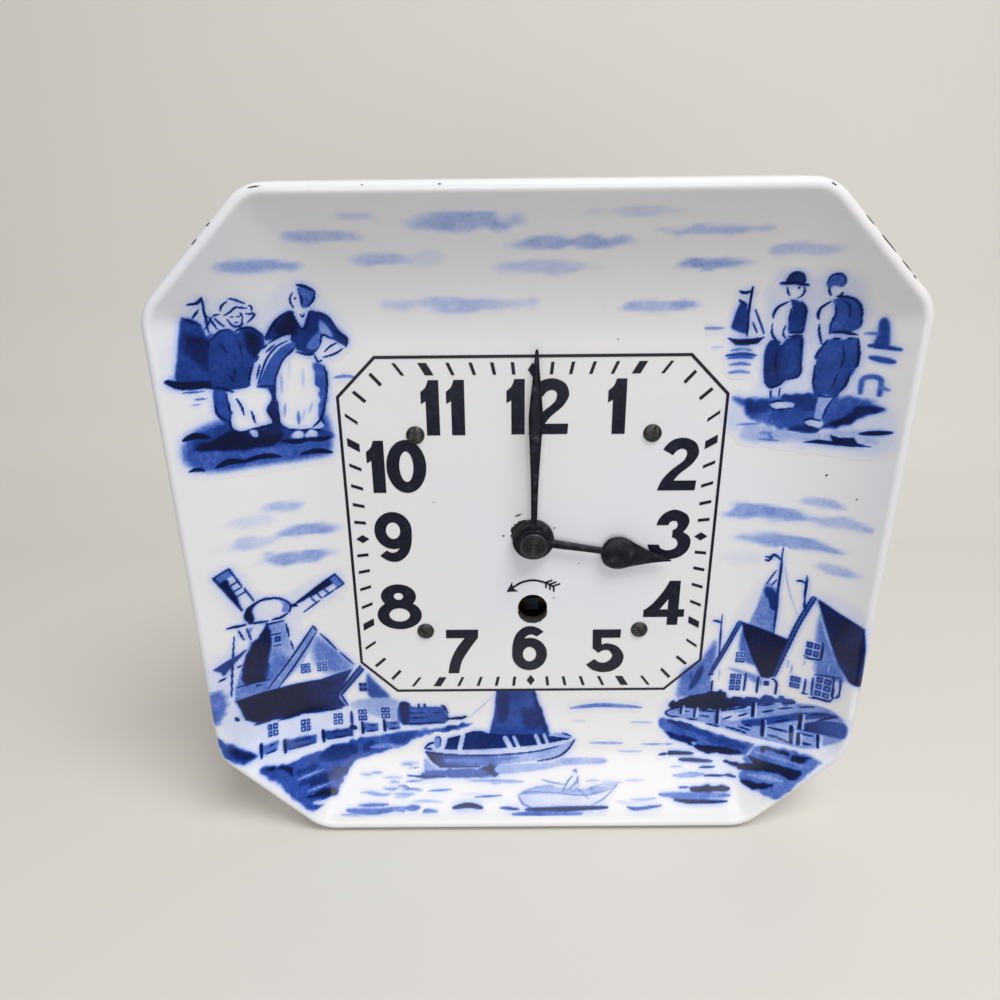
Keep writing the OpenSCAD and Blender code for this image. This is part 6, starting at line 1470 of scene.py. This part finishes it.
# Arbors, pillars and nuts from the lathe: mid grey and bright, uneven over 3 mm
steel = metal("turned_steel", "#b4b6ba", "#8f9297", "#6b6e73", rough=(0.2, 0.4), size_mm=3)
# Springs tempered to a deep blue: dark, clear and glossy
blued = metal("blued_spring_steel", "#3d5184", "#2a3a66", "#1c2743", rough=(0.2, 0.35), size_mm=4)
# Pressed fibre: brown-red, dull and mealy, with no metal in it
fibre = metal("red_fibre_board", "#8a4a34", "#73392a", "#5a2b20", rough=(0.6, 0.8), size_mm=1.5,
              metallic=0.0, marks=0.5)

# Each carried-over solid takes the finish of its slot in the record
finishes = {"tinplate": tinplate, "brass": brass, "steel": steel, "blued_steel": blued, "fibre": fibre,
            "enamel": white_enamel, "screw_steel": screw_steel, "hand_black": hand_black}
for part in frame["record"]["subparts"]:
    slot_name = part.get("material_slot") or part.get("material")
    for node_name in part.get("nodes") or [part.get("node")]:
        if node_name in frame["nodes"] and slot_name in finishes:
            mesh = frame["nodes"][node_name].data
            mesh.materials.clear()
            mesh.materials.append(dark_steel if node_name == "winding_arbor" else finishes[slot_name])

# Studio: a pale matt paper floor that curves up into a wall, one broad lamp above and a
# little to the right, and a window in front that the glaze of the lower border mirrors.
studio_grey = bpy.data.materials.new("studio_paper")
studio_grey.use_nodes = True
paper = studio_grey.node_tree.nodes["Principled BSDF"]
paper.inputs["Base Color"].default_value = srgb("#dedad2")
paper.inputs["Roughness"].default_value = 0.9
floor_z = -0.1624
sweep = bmesh.new()
run = [(-0.15, 0), (0.16, 0), (0.24, 0.01), (0.3, 0.05), (0.33, 0.12), (0.34, 0.3), (0.34, 1.2)]
verts = [sweep.verts.new((-1.4, y, floor_z + z)) for y, z in run]
edges = [sweep.edges.new(pair) for pair in zip(verts, verts[1:])]
grown = bmesh.ops.extrude_edge_only(sweep, edges=edges)["geom"]
bmesh.ops.translate(sweep, verts=[g for g in grown if isinstance(g, bmesh.types.BMVert)], vec=(2.8, 0, 0))
bmesh.ops.recalc_face_normals(sweep, faces=sweep.faces[:])
sweep_mesh = bpy.data.meshes.new("studio_sweep")
sweep.to_mesh(sweep_mesh)
sweep.free()
sweep_mesh.shade_smooth()
sweep_mesh.materials.append(studio_grey)
backdrop = bpy.data.objects.new("studio_sweep", sweep_mesh)
scene.collection.objects.link(backdrop)


def lamp(name, place, aim, wide, high, power):
    """A soft white box lamp turned towards a point."""
    light = bpy.data.lights.new(name, "AREA")
    light.shape = "RECTANGLE"
    light.size, light.size_y = wide, high
    light.energy = power
    made = bpy.data.objects.new(name, light)
    made.location = place
    made.rotation_euler = (Vector(aim) - Vector(place)).to_track_quat("-Z", "Y").to_euler()
    scene.collection.objects.link(made)


lamp("broad_lamp", (0.28, -0.5, 0.88), aim=(0, 0, -0.06), wide=0.6, high=0.45, power=8.7)
lamp("front_window", (0.0, -0.97, 0.16), aim=(0, -0.05, 0.16), wide=0.6, high=0.62, power=3.7)
world = bpy.data.worlds.new("studio")
world.use_nodes = True
world.node_tree.nodes["Background"].inputs["Color"].default_value = srgb("#e9ecf2")
world.node_tree.nodes["Background"].inputs["Strength"].default_value = 0.26
scene.world = world
